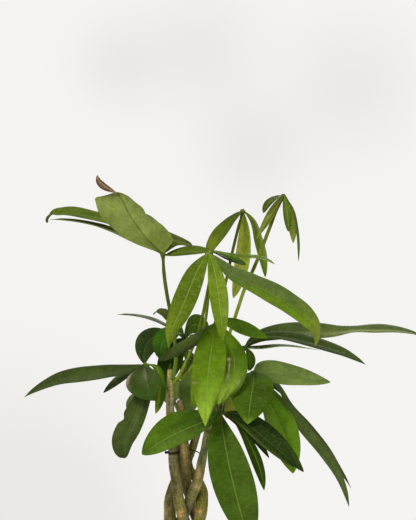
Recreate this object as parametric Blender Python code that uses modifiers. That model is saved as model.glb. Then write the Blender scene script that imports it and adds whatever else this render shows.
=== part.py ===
"""Potted money tree: five braided stems, palm-shaped leaves on long stalks, soil and a plain pot.

Lengths are written in millimetres and turned into metres by MM. +X is to the right as seen from
the front, +Y is away from the viewer, +Z is up. The origin is the centre of the pot's base.

The crown is set out as a person in front of the plant sees it. Each place is (across, up, depth):
across and up are read on the upright plane through the pot's axis, and depth is how far the place
lies behind that plane along the line of sight.
"""

import math
from collections import namedtuple

import bmesh
import bpy
import numpy as np

MM = 0.001

# The viewer's eye, from which the crown is set out.
EYE_ACROSS = 23.65
EYE_DISTANCE = 1600.0
EYE_UP = 599.0

# Pot: a plain tapered bowl.
POT_HEIGHT = 150.0
POT_TOP_RADIUS = 85.0
POT_BASE_RADIUS = 62.0
POT_WALL = 5.5
POT_FLOOR = 8.0
POT_EDGE_RADIUS = 2.5
POT_SIDES = 40

# Soil: fills the pot to a little under the rim.
SOIL_TOP = 134.0
SOIL_MOUND = 4.0
FIT_GAP = 0.3

# Braid: five stems that cross left over right and right over left.
STEM_COUNT = 5
STEM_RADIUS = 6.5
STEM_FOOT_RADIUS = 8.6
STEM_SIDES_STEP = 2
STEM_ROWS = 34
BRAID_HALF_WIDTH = 18.4
BRAID_HALF_DEPTH = 14.2
BRAID_PITCH = 240.0
CROSSING_UP = 304.7
BRAID_LOW = 160.0
BRAID_TOP = 312.0
BRAID_STEP = 14.0
FOOT_SPREAD = 1.35
FOOT_UP = 78.0
SPREAD_TOP = 190.0

# Tie: a turn of soft wire round the left stem, its loose end running behind the middle stem.
TIE_STEM = 0
TIE_UP = 388.5
TIE_RADIUS = 1.2
TIE_END_RADIUS = 0.6
TIE_KNOT_RADIUS = 2.2
TIE_END = (
    (-8.2, 389, -2),
    (-7.4, 389.5, 3.6),
    (-3, 390, 7.6),
    (4, 390.5, 7.8),
    (10, 389, 4),
    (14, 386.5, -2),
)

# Leaves.
BLADE = 0.9
STALK_END_HALF = 1.1
TIP_HALF = 0.45
TAIL_HALF = 3.0
FOLD = 0.16
BLADE_ROWS = (5, 11)
ROW_LENGTH = 13.0
STALK_ROW_LENGTH = 17.0
STALK_RADIUS = 1.7
STALK_FOOT_SWELL = 1.25
HUB_RADIUS = 3.1
HUB_LEAD = 5.0
HUB_END = 2.2
HUB_END_SHARE = 0.55

POINTED = (0.95, 0.75)
SLENDER = (1.05, 1.05)

# midrib: places after the hub, to the tip. faces: where the upper side looks, as (right, up, away).
# outline: how the width rises from the hub and falls to the tip, where the two sides differ for the
# left-hand side and then the right. uneven: extra share of the right-hand half. dents: (side, place,
# depth, length) bites out of one margin. tail: where the blade ends and a dried strip of its midrib
# goes on. sweep: how far the margins run ahead of the midrib at the tip.
Leaflet = namedtuple(
    "Leaflet",
    "midrib width faces outline twist uneven dents tail sweep",
    defaults=(POINTED, 0.0, 0.0, (), 1.0, 0.0),
)
Leaf = namedtuple("Leaf", "name hub stem stalk leaflets colour radius", defaults=(STALK_RADIUS,))

YOUNG = (0.22, 0.40, 0.03)
MATURE = (0.06, 0.16, 0.02)
BARK = (0.20, 0.17, 0.06)
GLAZE = (0.78, 0.76, 0.71)
EARTH = (0.05, 0.035, 0.025)
WIRE = (0.02, 0.02, 0.02)

# The stems above the braid: (across, up, depth, radius), from the braid to the tip.
STEM_TOPS = (
    (
        (-6, 324, -11.5, 6.3),
        (-8.5, 335, -13.5, 6.2),
        (-11.3, 357, -13, 6.0),
        (-14, 374, -10.5, 5.8),
        (-15, 390, -8, 5.3),
        (-17.4, 425, -5, 4.9),
        (-18.2, 441, -4, 4.7),
        (-17.8, 456, -3, 4.3),
        (-18, 480, -2, 3.6),
    ),
    (
        (13, 311, 11, 6.4),
        (9.1, 321, 14.2, 6.3),
        (5.8, 334, 12.2, 6.0),
        (1.4, 346, 5.2, 5.9),
        (0, 354, 1, 5.8),
        (-1, 366, -1, 5.6),
        (-2, 388, 0, 5.4),
        (-4, 415, 4, 4.5),
        (-8, 446, 8, 3.2),
    ),
    (
        (-6, 312, 11.9, 6.4),
        (-1.2, 324, 4.2, 6.2),
        (3.8, 335, -5, 6.0),
        (8, 346, -11.8, 5.9),
        (12.4, 357, -14, 5.7),
        (16.8, 377, -12, 5.0),
        (19.7, 392, -9.5, 4.1),
        (22.3, 407, -7.5, 3.9),
        (29, 424, -4.5, 3.8),
        (35.5, 442, -1, 3.6),
        (38, 462, 2, 3.0),
    ),
    (
        (16.9, 324, -10.8, 6.2),
        (17.2, 334, -4.5, 6.6),
        (17.3, 345, 6.2, 6.1),
        (12, 357, 12.3, 5.6),
        (3.4, 369, 12.5, 5.2),
        (1.8, 378, 13.2, 4.8),
        (5.2, 388, 14.5, 4.9),
        (9.6, 402, 18, 4.7),
        (12.8, 413, 21.5, 4.4),
        (22, 446, 30, 3.8),
        (28, 474, 38, 3.0),
    ),
    (
        (-18.1, 313, -1.8, 6.8),
        (-18.5, 324, 5, 6.7),
        (-18.6, 334, 10, 6.3),
        (-15.8, 345, 13.8, 6.1),
        (-12, 356, 15, 5.9),
        (-9.8, 370, 15.5, 5.5),
        (-9.3, 388, 17, 5.2),
        (-6, 420, 24, 4.4),
        (-2, 452, 32, 3.8),
        (2, 482, 38, 3.0),
    ),
)

# The place of each of these stems in the braid's order.
BRAID_ORDER = (0, 1, 3, 2, 4)

LEAVES = (
    Leaf(
        "leaf_upper_left",
        hub=(-26, 606, -10),
        stem=0,
        stalk=((-17, 466, -3), (-12, 482, -9), (-12.5, 505, -11), (-15.8, 530, -10),
               (-20.6, 556, -10), (-24.3, 580, -10)),
        colour=MATURE,
        radius=2.0,
        leaflets=(
            Leaflet(
                (
                    (-42, 621.5, -24),
                    (-55, 637.5, -38),
                    (-64.5, 652, -52),
                    (-71, 665.5, -63),
                    (-76.5, 672, -68),
                    (-84, 676, -72),
                    (-91, 680, -75),
                    (-96.5, 685.5, -78),
                    (-98, 692, -80),
                ),
                50.5,
                (0.05, 0.15, 1),
                ((0.19, 0.78), (1.1, 0.40)),
                uneven=0.13,
                dents=((0, 0.45, 0.25, 0.1),),
                tail=0.77,
                sweep=0.8,
            ),
            Leaflet(((-62, 632.5, 8), (-105, 647, 14), (-137, 650.3, 14), (-149, 648.2, 13),
                     (-153.4, 639.6, 12)), 30, (0.1, 1, -0.4), (0.95, 0.42)),
            Leaflet(((-56, 618.5, 0), (-95, 635.2, 6), (-150, 643.6, 8)), 27, (0, 1, -0.17), SLENDER),
            Leaflet(((-17, 621, 4), (-8, 619.5, 16), (6, 616, 31)), 27, (0.1, 0.75, -0.7), (0.6, 0.6)),
            Leaflet(((-38, 634, 30), (-62, 648, 62), (-78, 646, 96)), 30, (-0.3, 1, 0.2)),
        ),
    ),
    Leaf(
        "leaf_centre_front",
        hub=(24, 607, -55),
        stem=0,
        stalk=((-17, 460, -3), (-11, 463, -4), (-6, 477, -8), (1.5, 491, -11), (9.6, 510, -16),
               (16.6, 533, -25), (20.6, 552, -33), (25, 574, -42), (27, 592, -49)),
        colour=YOUNG,
        leaflets=(
            Leaflet(((11.8, 587, -71), (1.5, 562, -79), (-8, 540, -80), (-15, 525, -77),
                     (-19.5, 501, -70)), 26, (-0.25, 0.3, -1), (0.98, 1.05)),
            Leaflet(((30, 590, -70), (33.4, 573, -78), (36.4, 550, -83), (38.5, 528, -84),
                     (40, 509, -81)), 19.5, (0.1, 0.2, -1), (0.95, 0.9)),
            Leaflet(
                (
                    (36, 596, -60),
                    (50, 584, -64),
                    (70, 573.4, -68),
                    (90, 562.8, -71),
                    (113.4, 548.8, -73),
                    (130.4, 536.2, -74),
                    (140.2, 524, -74),
                    (141, 504, -72),
                ),
                34.5,
                (0.15, 0.78, -0.62),
                (0.85, 0.6),
            ),
        ),
    ),
    Leaf(
        "leaf_centre_level",
        hub=(27, 609, -8),
        stem=0,
        stalk=((-17, 468, -3), (-11, 469, 2), (-3, 471, 5), (5, 478, 4), (9, 488, 2), (13, 500, 0),
               (20.4, 530, -3), (23.2, 552, -4), (26, 577, -6)),
        colour=YOUNG,
        leaflets=(
            Leaflet(((4, 608.2, -8), (-10, 606.4, -7), (-24, 604, -6)), 23, (0, 1, -0.47), (0.75, 0.8)),
            Leaflet(((45, 605, -11), (62, 601.8, -12), (80, 600.8, -13), (88, 598.8, -13),
                     (97, 594.3, -13)), 20, (0, 1, -0.22)),
            Leaflet(((45, 601.5, 2), (66, 593.5, 8)), 21, (0.1, 1, -0.5)),
        ),
    ),
    Leaf(
        "leaf_top_centre",
        hub=(62, 653.4, 22),
        stem=3,
        stalk=((25, 458, 33), (30, 480, 26), (32, 510, 20), (37, 545, 19), (44, 578, 20), (51, 610, 21)),
        colour=YOUNG,
        leaflets=(
            Leaflet(((51.5, 645, 15), (39.2, 629.4, 10), (28, 614.4, 9), (21.2, 601.6, 9)), 25,
                    (-0.6, 0.7, -0.6)),
            Leaflet(((63.8, 628, 34), (61.8, 600, 40), (51.3, 557, 38)), 17.2, (-0.1, 0.3, 1)),
            Leaflet(((71.2, 643, 26), (78, 620, 32), (83, 600, 32), (86.6, 580, 30)), 22.5,
                    (0.75, 0.5, -0.5)),
            Leaflet(((48, 641, 48), (32, 618, 72)), 22, (-0.5, 0.8, 0.4)),
        ),
    ),
    Leaf(
        "leaf_top_right",
        hub=(107, 670, 10),
        stem=2,
        stalk=((37, 457, 1), (39, 478, 4), (42, 500, 5), (48, 520, 5), (54.8, 540, 6), (63, 565, 7),
               (74.6, 591, 8), (89.8, 630, 9), (101.6, 660, 10)),
        radius=2.0,
        colour=YOUNG,
        leaflets=(
            Leaflet(((100, 668.2, 3), (93.4, 664, -1), (88, 657.6, -4), (84.8, 650.4, -5)), 14,
                    (-0.5, 0.8, -0.5)),
            Leaflet(((97.5, 656, 1), (91, 646, -2), (85, 636, -4), (80.5, 628.5, -4), (76.5, 621, -4)),
                    10.5, (-0.4, 0.3, 0.9), (0.8, 1.1)),
            Leaflet(((116.2, 656, 8), (120.8, 635, 6), (123, 598, 4)), 11.4, (0.9, 0.4, -0.3)),
            Leaflet(((110.6, 652, -2), (112, 630, -4)), 9.5, (0.1, 0.2, -1)),
            Leaflet(((114, 650, 22), (117.4, 617.5, 24)), 10, (0.2, 0.3, 1)),
        ),
    ),
    Leaf(
        "leaf_right_upper",
        hub=(64, 503, 8),
        stem=2,
        stalk=((36, 447, -1), (42, 460, 6), (50, 478, 9), (58, 494, 9)),
        colour=MATURE,
        leaflets=(
            Leaflet(
                ((77, 513, 0), (92, 515, -4), (112, 513.6, -9), (135, 508.8, -13), (155, 503.2, -16),
                 (175, 496.4, -18), (197, 484, -18)),
                24,
                (0, 0.9, -0.45),
                ((1.05, 0.95), (1.5, 0.9)),
            ),
            Leaflet(
                ((79, 514.2, 14), (95, 518.4, 22), (120, 520.5, 28), (150, 520, 34), (165, 520, 36),
                 (180, 521.6, 38), (200, 522.2, 41), (225, 521.8, 43), (240, 519.8, 44), (252, 517, 45),
                 (264, 511.5, 46), (273, 505, 46)),
                34,
                (0, 0.88, -0.477),
                ((0.8, 0.7), (0.6, 0.7)),
                twist=41,
                dents=((0, 0.58, 0.42, 0.16), (1, 0.58, 0.42, 0.16)),
            ),
            Leaflet(((80, 501.8, 16), (105, 504.3, 22), (128, 502.6, 28), (146, 499.8, 31)), 18,
                    (0, 1, -0.13), (0.45, 1.4)),
            Leaflet(((69.6, 494, 6), (68.2, 477, 4)), 12, (0.5, 0.2, -0.8)),
            Leaflet(((80, 511, 34), (100, 513, 88)), 26, (0.1, 1, 0)),
        ),
    ),
    Leaf(
        "leaf_bright_front",
        hub=(33, 531, -28),
        stem=2,
        stalk=((35, 440, -1), (33, 446, -9), (31, 470, -18), (31, 500, -25)),
        colour=YOUNG,
        leaflets=(
            Leaflet(((28, 505, -54), (23, 465, -76), (20.8, 416, -86)), 35, (-0.05, 0.25, -1), (0.9, 0.98)),
            Leaflet(((45, 510, -42), (52.5, 488, -52), (49.5, 466, -62), (34.5, 440, -66)), 29,
                    (0.35, 0.15, -1), ((1.2, 1.05), (0.95, 0.75))),
            Leaflet(((45, 530.5, -30), (60, 524.8, -30), (75, 518.8, -29), (90, 513.2, -28)), 17.5,
                    (0.05, 0.6, -0.8), (0.95, 0.95)),
            Leaflet(((15, 515, -36), (2, 505.6, -42), (-12, 497.6, -46), (-31, 487.8, -48)), 20,
                    (-0.25, 0.85, -0.6)),
            Leaflet(((19, 500, -32), (12, 465, -34), (7, 438, -34)), 15, (-0.1, 0.2, -1)),
        ),
    ),
    Leaf(
        "leaf_low_right",
        hub=(73.5, 475, -22),
        stem=2,
        stalk=((35, 441, -1), (43, 445, -5), (52, 453, -12), (64, 465, -19)),
        colour=MATURE,
        leaflets=(
            Leaflet(((90, 475.2, -27), (120, 470.7, -33), (140, 467.3, -37), (158.5, 464.6, -40)), 32.5,
                    (0, 0.72, -0.7), ((0.27, 0.78), (0.36, 0.75))),
            Leaflet(((74, 468, -38), (71, 448, -56), (67, 418, -64)), 46, (0, 0.5, -1), (0.95, 1.0)),
            Leaflet(((88, 447, -14), (106, 410, -10), (117, 364, -6)), 34, (0.2, 0.3, -1),
                    ((0.95, 0.75), (1.6, 0.95))),
            Leaflet(((102, 443.4, -6), (134, 407, 6), (161.6, 371.2, 11), (178.8, 327.6, 12)), 21.8,
                    (0.62, 0.55, -0.58)),
            Leaflet(((98.6, 460.4, 8), (114.4, 435.4, 30), (149.6, 394.9, 40), (181.2, 348, 42)), 22.8,
                    (0.7, 0.6, -0.35), (1.1, 0.92)),
            Leaflet(((92, 464, 12), (103, 454.5, 15), (110.8, 445, 14)), 13, (0.5, 0.6, -0.5)),
            Leaflet(((78.5, 456, 8), (80, 438, 14)), 13, (0, 0.3, -1)),
        ),
    ),
    Leaf(
        "leaf_low_front",
        hub=(38, 431, -42),
        stem=2,
        stalk=((33, 433, -3), (36, 434, -16), (38, 433, -30)),
        colour=MATURE,
        leaflets=(
            Leaflet(((40, 411, -58), (43.8, 389, -72), (48.6, 365, -82), (55.2, 338, -88),
                     (62, 312, -90), (69, 282, -90)), 43.8, (0, 0.3, -1),
                    ((1.15, 0.86), (0.88, 0.98))),
            Leaflet(((60.5, 422.5, -54), (84, 404, -66), (104, 387.5, -74), (121, 371, -78)), 21,
                    (0.25, 0.6, -0.8), ((0.95, 0.75), (0.95, 0.64))),
            Leaflet(((66, 425, -40), (90.5, 407.5, -42), (112, 385, -42), (129, 365.8, -42)), 20,
                    (0.3, 0.55, -0.8)),
            Leaflet(((52, 423.5, -38), (63, 409, -42), (70.5, 394.5, -46), (77.6, 378, -48),
                     (82.8, 361, -49), (85.4, 345.5, -49)), 12.6, (0.3, 0.3, -1), (1.5, 0.85),
                    uneven=0.1),
            Leaflet(((18.5, 421, -54), (-3, 412, -64), (-23, 402, -72), (-39, 392, -76),
                     (-49, 385, -78)), 37.5, (-0.25, 0.5, -0.9), ((0.9, 0.7), (0.9, 0.82)), uneven=0.2),
            Leaflet(((66, 412, -24), (91, 381, -18)), 12, (0.3, 0.6, -0.7)),
        ),
    ),
    Leaf(
        "leaf_left",
        hub=(-46, 484, -18),
        stem=0,
        stalk=((-17, 452, -3), (-24, 457, -8), (-30, 468, -12), (-38, 479, -16)),
        colour=MATURE,
        leaflets=(
            Leaflet(((-68, 478.2, -22), (-92, 474.6, -26), (-117, 471.2, -30), (-142, 466, -33),
                     (-159, 459, -34), (-178.5, 448, -34)), 28.5, (0, 0.87, -0.5),
                    ((0.72, 1.1), (0.85, 0.9))),
            Leaflet(((-70, 470, -4), (-91.5, 453, 4)), 15.5, (-0.2, 0.75, -0.65)),
            Leaflet(((-46.8, 498, -6), (-42, 509, 5), (-33.4, 516.4, 14), (-22, 520.8, 20.6)), 26,
                    (0, 0.3, -1)),
            Leaflet(((-45.5, 474, -36), (-43, 462, -48), (-39, 452, -54), (-34, 444, -56)), 38,
                    (-0.2, 0.5, -1), ((1.8, 1.15), (1.4, 1.15)), uneven=0.16),
            Leaflet(((-45.5, 460, -28), (-53.6, 437, -36), (-62, 416, -39), (-69, 399, -40),
                     (-67.5, 381, -38)), 26.5, (-0.15, 0.25, -1), ((0.95, 0.6), (1.3, 0.45)),
                    uneven=0.03, dents=((1, 0.62, 0.27, 0.04),)),
            Leaflet(((-34, 481, -22), (-29, 462, -27), (-34, 430, -29)), 12, (0.3, 0.2, -1)),
        ),
    ),
    Leaf(
        "leaf_back_left",
        hub=(-2, 512, 32),
        stem=4,
        stalk=((1.5, 476, 37), (0, 490, 33), (-2, 502, 32)),
        colour=MATURE,
        leaflets=(
            Leaflet(((-30, 529.9, 34), (-55, 537.3, 32), (-76, 538.9, 28)), 22, (0, 1, -0.1), SLENDER),
            Leaflet(((-17.5, 534.6, 40), (-25.4, 541.4, 44), (-32.6, 542.6, 47), (-36.4, 538.4, 48)), 12,
                    (-0.2, 0.8, -0.6)),
            Leaflet(((-17, 519, 10), (-27, 507, -4), (-27, 489, -10)), 23, (-0.3, 0.4, -1)),
            Leaflet(((2, 521, 27), (7, 527.5, 23), (15, 526.5, 17), (23.5, 521.5, 12)), 25,
                    (0, 0.5, -0.9), (0.7, 0.7)),
            Leaflet(((-11, 503, 20), (-19, 484, 16), (-22, 462, 14)), 27, (0, 0.4, -1)),
        ),
    ),
    Leaf(
        "leaf_inner",
        hub=(14, 482, 44),
        stem=4,
        stalk=((-3, 448, 33), (4, 455, 42), (9, 468, 45)),
        colour=MATURE,
        leaflets=(
            Leaflet(((8, 468, 26), (2.5, 430, 17)), 28, (0, 0.3, -1)),
            Leaflet(((-4, 496, 62), (-24, 502, 84)), 24, (0, 1, 0)),
            Leaflet(((12, 486, 84), (2, 462, 126)), 36, (0, 1, 0.3)),
            Leaflet(((30, 480, 80), (38, 466, 120)), 32, (0.2, 1, 0.2)),
        ),
    ),
    Leaf(
        "leaf_back_high",
        hub=(34, 506, 74),
        stem=3,
        stalk=((27, 468, 36), (31, 482, 46), (34, 496, 62)),
        colour=MATURE,
        leaflets=(
            Leaflet(((8, 512, 110), (-22, 500, 152)), 38, (-0.2, 1, 0.2)),
            Leaflet(((24, 514, 132), (14, 503, 192)), 40, (0, 1, 0.1)),
            Leaflet(((33, 512, 130), (34, 500, 188)), 26, (0.1, 1, 0.1)),
            Leaflet(((46, 495, 108), (53, 477, 146)), 26, (0.3, 1, 0.1)),
        ),
    ),
    Leaf(
        "leaf_back_right",
        hub=(50, 456, 62),
        stem=3,
        stalk=((18, 432, 26), (28, 438, 40), (42, 448, 54)),
        colour=MATURE,
        leaflets=(
            Leaflet(((70, 462, 96), (86, 448, 136)), 34, (0.3, 1, 0)),
            Leaflet(((54, 456, 112), (60, 432, 158)), 36, (0, 1, 0.3)),
            Leaflet(((36, 452, 100), (24, 430, 140)), 34, (-0.2, 1, 0.3)),
            Leaflet(((78, 456, 64), (98, 441, 76)), 26, (0.4, 0.9, 0)),
            Leaflet(((49, 443, 56), (44, 425, 48)), 18, (0, 0.3, 1)),
        ),
    ),
    Leaf(
        "leaf_back_low",
        hub=(-22, 462, 52),
        stem=4,
        stalk=((-5, 425, 25), (-10, 436, 34), (-17, 450, 44)),
        colour=MATURE,
        leaflets=(
            Leaflet(((-42, 458, 72), (-62, 432, 98)), 34, (-0.3, 0.9, 0)),
            Leaflet(((-34, 466, 96), (-46, 448, 142)), 36, (-0.2, 1, 0.2)),
            Leaflet(((-16, 462, 98), (-20, 440, 142)), 36, (0, 1, 0.3)),
            Leaflet(((-40, 470, 46), (-62, 464, 40)), 22, (-0.2, 1, 0)),
        ),
    ),
)


def place(across, up, depth):
    """A place set out from the viewer's eye, as a point in millimetres: the reading on the axis plane,
    pushed along the line of sight until it is depth behind that plane."""
    grow = (EYE_DISTANCE + depth) / EYE_DISTANCE
    return np.array(
        (EYE_ACROSS + (across - EYE_ACROSS) * grow, depth, EYE_UP + (up - EYE_UP) * grow)
    )


def smooth(points, count):
    """count points, evenly spaced, on one smooth curve through the given points."""
    p = np.array(points, float)
    u = np.concatenate(([0.0], np.cumsum(np.linalg.norm(np.diff(p, axis=0), axis=1))))
    slope = np.gradient(p, u, axis=0, edge_order=2)
    fine = np.linspace(0.0, u[-1], 40 * len(p))
    k = np.clip(np.searchsorted(u, fine, side="right") - 1, 0, len(p) - 2)
    h = (u[k + 1] - u[k])[:, None]
    x = (fine - u[k])[:, None] / h
    line = (
        (2 * x**3 - 3 * x**2 + 1) * p[k]
        + (x**3 - 2 * x**2 + x) * h * slope[k]
        + (3 * x**2 - 2 * x**3) * p[k + 1]
        + (x**3 - x**2) * h * slope[k + 1]
    )
    step = np.linalg.norm(np.diff(line[:, :3], axis=0), axis=1)
    run = np.concatenate(([0.0], np.cumsum(step)))
    even = np.linspace(0.0, run[-1], count)
    return np.stack([np.interp(even, run, line[:, i]) for i in range(p.shape[1])], axis=1)


def unit(v):
    return v / np.linalg.norm(v, axis=-1, keepdims=True)


def material(name, colour, roughness):
    made = bpy.data.materials.new(name)
    made.use_nodes = True
    shader = made.node_tree.nodes["Principled BSDF"]
    shader.inputs["Base Color"].default_value = (*colour, 1.0)
    shader.inputs["Roughness"].default_value = roughness
    return made


def collection(name):
    made = bpy.data.collections.new(name)
    bpy.context.scene.collection.children.link(made)
    return made


def mesh_object(name, mesh, home):
    made = bpy.data.objects.new(name, mesh)
    home.objects.link(made)
    return made


def baked(obj):
    """The object with its modifiers applied, as a plain mesh object of the same name."""
    graph = bpy.context.evaluated_depsgraph_get()
    mesh = bpy.data.meshes.new_from_object(obj.evaluated_get(graph), depsgraph=graph)
    name, home, place_of = obj.name, obj.users_collection[0], obj.matrix_world.copy()
    bpy.data.objects.remove(obj)
    bm = bmesh.new()
    bm.from_mesh(mesh)
    bmesh.ops.remove_doubles(bm, verts=bm.verts, dist=0.001 * MM)
    bm.to_mesh(mesh)
    bm.free()
    made = mesh_object(name, mesh, home)
    made.matrix_world = place_of
    return made


def tube(name, points, radii, home, sides_step, closed=False):
    """A round bar along the points (mm), with its own radius at each, as a closed mesh."""
    curve = bpy.data.curves.new(name, "CURVE")
    curve.dimensions = "3D"
    curve.bevel_depth = MM
    curve.bevel_resolution = sides_step
    curve.use_fill_caps = not closed
    curve.resolution_u = 1
    line = curve.splines.new("POLY")
    line.points.add(len(points) - 1)
    for point, at, radius in zip(line.points, points, radii):
        point.co = (*(at * MM), 1.0)
        point.radius = radius
    line.use_cyclic_u = closed
    return baked(mesh_object(name, curve, home))


def combine(obj, operation, other):
    """Joins or cuts obj with another object or with all of a collection, and applies it."""
    step = obj.modifiers.new("combine", "BOOLEAN")
    step.operation = operation
    step.solver = "EXACT"
    if isinstance(other, bpy.types.Collection):
        step.operand_type = "COLLECTION"
        step.collection = other
    else:
        step.object = other
    return baked(obj)


def outline_half(t, leaflet):
    """Half the blade's width at t from the hub (0) to the tip (1): left-hand side, right-hand side."""
    rise, fall = np.reshape(leaflet.outline, (-1, 2)).T
    peak = rise / (rise + fall)
    along = np.clip(t / leaflet.tail, 0, 1)[:, None]
    shape = (along / peak) ** rise * ((1 - along) / (1 - peak)) ** fall
    half = shape * (1 - leaflet.uneven, 1 + leaflet.uneven) * leaflet.width / 2
    for side, at, depth, length in leaflet.dents:
        half[:, side] *= 1 - depth * np.exp(-(((along[:, 0] - at) / length) ** 2))
    strip = np.interp(t, (0.0, 0.9 * leaflet.tail, 1.0), (STALK_END_HALF, STALK_END_HALF, TIP_HALF))
    if leaflet.tail < 1:
        strip += TAIL_HALF * np.sin(np.pi * np.clip((t - leaflet.tail) / (1 - leaflet.tail), 0, 1))
    return np.maximum(half, strip[:, None])


def midrib_of(leaflet, hub):
    """The midrib's points in millimetres, from the hub to the tip."""
    return [place(*hub)] + [place(*p) for p in leaflet.midrib]


def row_count(leaflet, hub):
    """How many rows of faces a blade is split into along its length."""
    line = np.array(midrib_of(leaflet, hub))
    length = np.linalg.norm(np.diff(line, axis=0), axis=1).sum()
    return int(np.clip(round(length / ROW_LENGTH), *BLADE_ROWS))


def blade_frame(leaflet, hub, count):
    """The midrib's points, with its forward, right-hand and upward directions."""
    rib = smooth(midrib_of(leaflet, hub), count)
    along = unit(np.gradient(rib, axis=0))
    right, up, away = leaflet.faces
    face = np.array((right, away, up))
    across = unit(np.cross(along[count // 2], face))
    side = unit(across - (along @ across)[:, None] * along)
    turn = np.radians(leaflet.twist) * (np.linspace(0, 1, count) - 0.5)[:, None]
    side = side * np.cos(turn) + np.cross(side, along) * np.sin(turn)
    return rib, along, side, np.cross(side, along)


def blade(name, leaflet, hub, home):
    """One leaflet: a grid folded along the midrib, three points wide, given its thickness."""
    rows = row_count(leaflet, hub)
    rib, along, side, over = blade_frame(leaflet, hub, rows + 1)
    places = np.linspace(0, 1, rows + 1)
    half = outline_half(places, leaflet)
    ahead = along * leaflet.sweep * places[:, None]
    bm = bmesh.new()
    bmesh.ops.create_grid(bm, x_segments=2, y_segments=rows, size=1.0)
    bmesh.ops.triangulate(bm, faces=bm.faces)
    for v in bm.verts:
        row = round((v.co.y + 1) / 2 * rows)
        reach = half[row, 1 if v.co.x > 0 else 0] * round(v.co.x)
        v.co = (rib[row] + side[row] * reach + (over[row] * FOLD + ahead[row]) * abs(reach)) * MM
    mesh = bpy.data.meshes.new(name)
    bm.to_mesh(mesh)
    bm.free()
    made = mesh_object(name, mesh, home)
    shell = made.modifiers.new("thickness", "SOLIDIFY")
    shell.thickness = BLADE * MM
    shell.offset = 0.0
    return made


def stalk_line(leaf):
    """The stalk's points and radii: swollen where it leaves the stem and again at the hub."""
    hub = place(*leaf.hub)
    path = np.array([place(*p) for p in leaf.stalk] + [hub])
    length = np.linalg.norm(np.diff(path, axis=0), axis=1).sum()
    line = smooth(path, max(4, round(length / STALK_ROW_LENGTH)))
    end = unit(line[-1] - line[-2])
    line = np.concatenate([line[:-1], [hub - end * HUB_LEAD, hub, hub + end * HUB_END]])
    radii = np.full(len(line), leaf.radius)
    radii[:2] = leaf.radius * STALK_FOOT_SWELL
    radii[-2:] = (HUB_RADIUS, HUB_RADIUS * HUB_END_SHARE)
    return line, radii


def leaf(plan, home, stems):
    """A palm-shaped leaf: stalk, hub and leaflets joined as one body, its foot shaped to the stem."""
    line, radii = stalk_line(plan)
    made = tube(plan.name, line, radii, home, 1)
    fan = collection("leaflets of " + plan.name)
    for i, leaflet in enumerate(plan.leaflets):
        blade(f"{plan.name}_blade_{i + 1}", leaflet, plan.hub, fan)
    made = combine(made, "UNION", fan)
    for piece in list(fan.objects):
        bpy.data.objects.remove(piece)
    bpy.data.collections.remove(fan)
    made = combine(made, "DIFFERENCE", stems[plan.stem])
    made.data.materials.append(material(plan.name, plan.colour, 0.4))
    return made


def braid_point(strand, up):
    """Where a strand's centre lies at a height: side to side once and front to back twice a pitch.
    Below the braid the strands stand still and spread towards the soil."""
    turn = 2 * math.pi * (strand / STEM_COUNT + (CROSSING_UP - max(up, BRAID_LOW)) / BRAID_PITCH)
    share = min(1.0, max(0.0, (SPREAD_TOP - up) / (SPREAD_TOP - SOIL_TOP)))
    spread = 1 + (FOOT_SPREAD - 1) * share * share * (3 - 2 * share)
    return np.array(
        (BRAID_HALF_WIDTH * spread * math.sin(turn), BRAID_HALF_DEPTH * spread * math.sin(2 * turn), up)
    )


def stem_line(index):
    """A stem's points and radii, from its foot in the soil, through the braid, to its own top."""
    strand = BRAID_ORDER[index]
    levels = np.arange(BRAID_LOW, BRAID_TOP + 1, BRAID_STEP)
    low = [(*braid_point(strand, up), STEM_FOOT_RADIUS) for up in (FOOT_UP, 105.0, SOIL_TOP)]
    mid = [(*braid_point(strand, up), STEM_RADIUS) for up in levels]
    top = [(*place(*row[:3]), row[3]) for row in STEM_TOPS[index]]
    line = smooth(low + mid + top, STEM_ROWS)
    return line[:, :3], line[:, 3]


def stem(index, home):
    points, radii = stem_line(index)
    made = tube(f"stem_{index + 1}", points, radii, home, STEM_SIDES_STEP)
    made.data.materials.append(material(made.name, BARK, 0.7))
    return made


def stem_cutter(index, home):
    """The stem made fatter by the fit gap, to shape what meets it."""
    points, radii = stem_line(index)
    made = tube(f"stem_cutter_{index + 1}", points, radii + FIT_GAP, home, STEM_SIDES_STEP)
    made.hide_render = True
    made.display_type = "WIRE"
    return made


def turned(name, profile, home):
    """A body turned round the upright axis from (radius, up) points, from the axis to the axis."""
    mesh = bpy.data.meshes.new(name)
    points = [(r * MM, 0.0, up * MM) for r, up in profile]
    mesh.from_pydata(points, [(i, i + 1) for i in range(len(points) - 1)], [])
    made = mesh_object(name, mesh, home)
    spin = made.modifiers.new("turn", "SCREW")
    spin.steps = spin.render_steps = POT_SIDES
    spin.use_merge_vertices = True
    spin.merge_threshold = 0.00001
    return made


def corner(centre, radius, first, last, count=4):
    """Points on a round corner, from one angle to another in degrees."""
    angles = np.radians(np.linspace(first, last, count))
    return [(centre[0] + radius * math.cos(a), centre[1] + radius * math.sin(a)) for a in angles]


def wall_radius(up):
    return POT_BASE_RADIUS + (POT_TOP_RADIUS - POT_BASE_RADIUS) * up / POT_HEIGHT


def pot(home):
    """The pot: floor, tapered wall and round-edged rim, as one turned body."""
    edge = POT_EDGE_RADIUS
    profile = [(0.0, POT_FLOOR), (wall_radius(POT_FLOOR) - POT_WALL, POT_FLOOR)]
    profile += corner((POT_TOP_RADIUS - POT_WALL + edge, POT_HEIGHT - edge), edge, 180, 90)
    profile += corner((POT_TOP_RADIUS - edge, POT_HEIGHT - edge), edge, 90, 0)
    profile += corner((POT_BASE_RADIUS - edge, edge), edge, 0, -90)
    profile += [(0.0, 0.0)]
    made = turned("pot", profile, home)
    made.data.materials.append(material("pot", GLAZE, 0.45))
    return made


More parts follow.
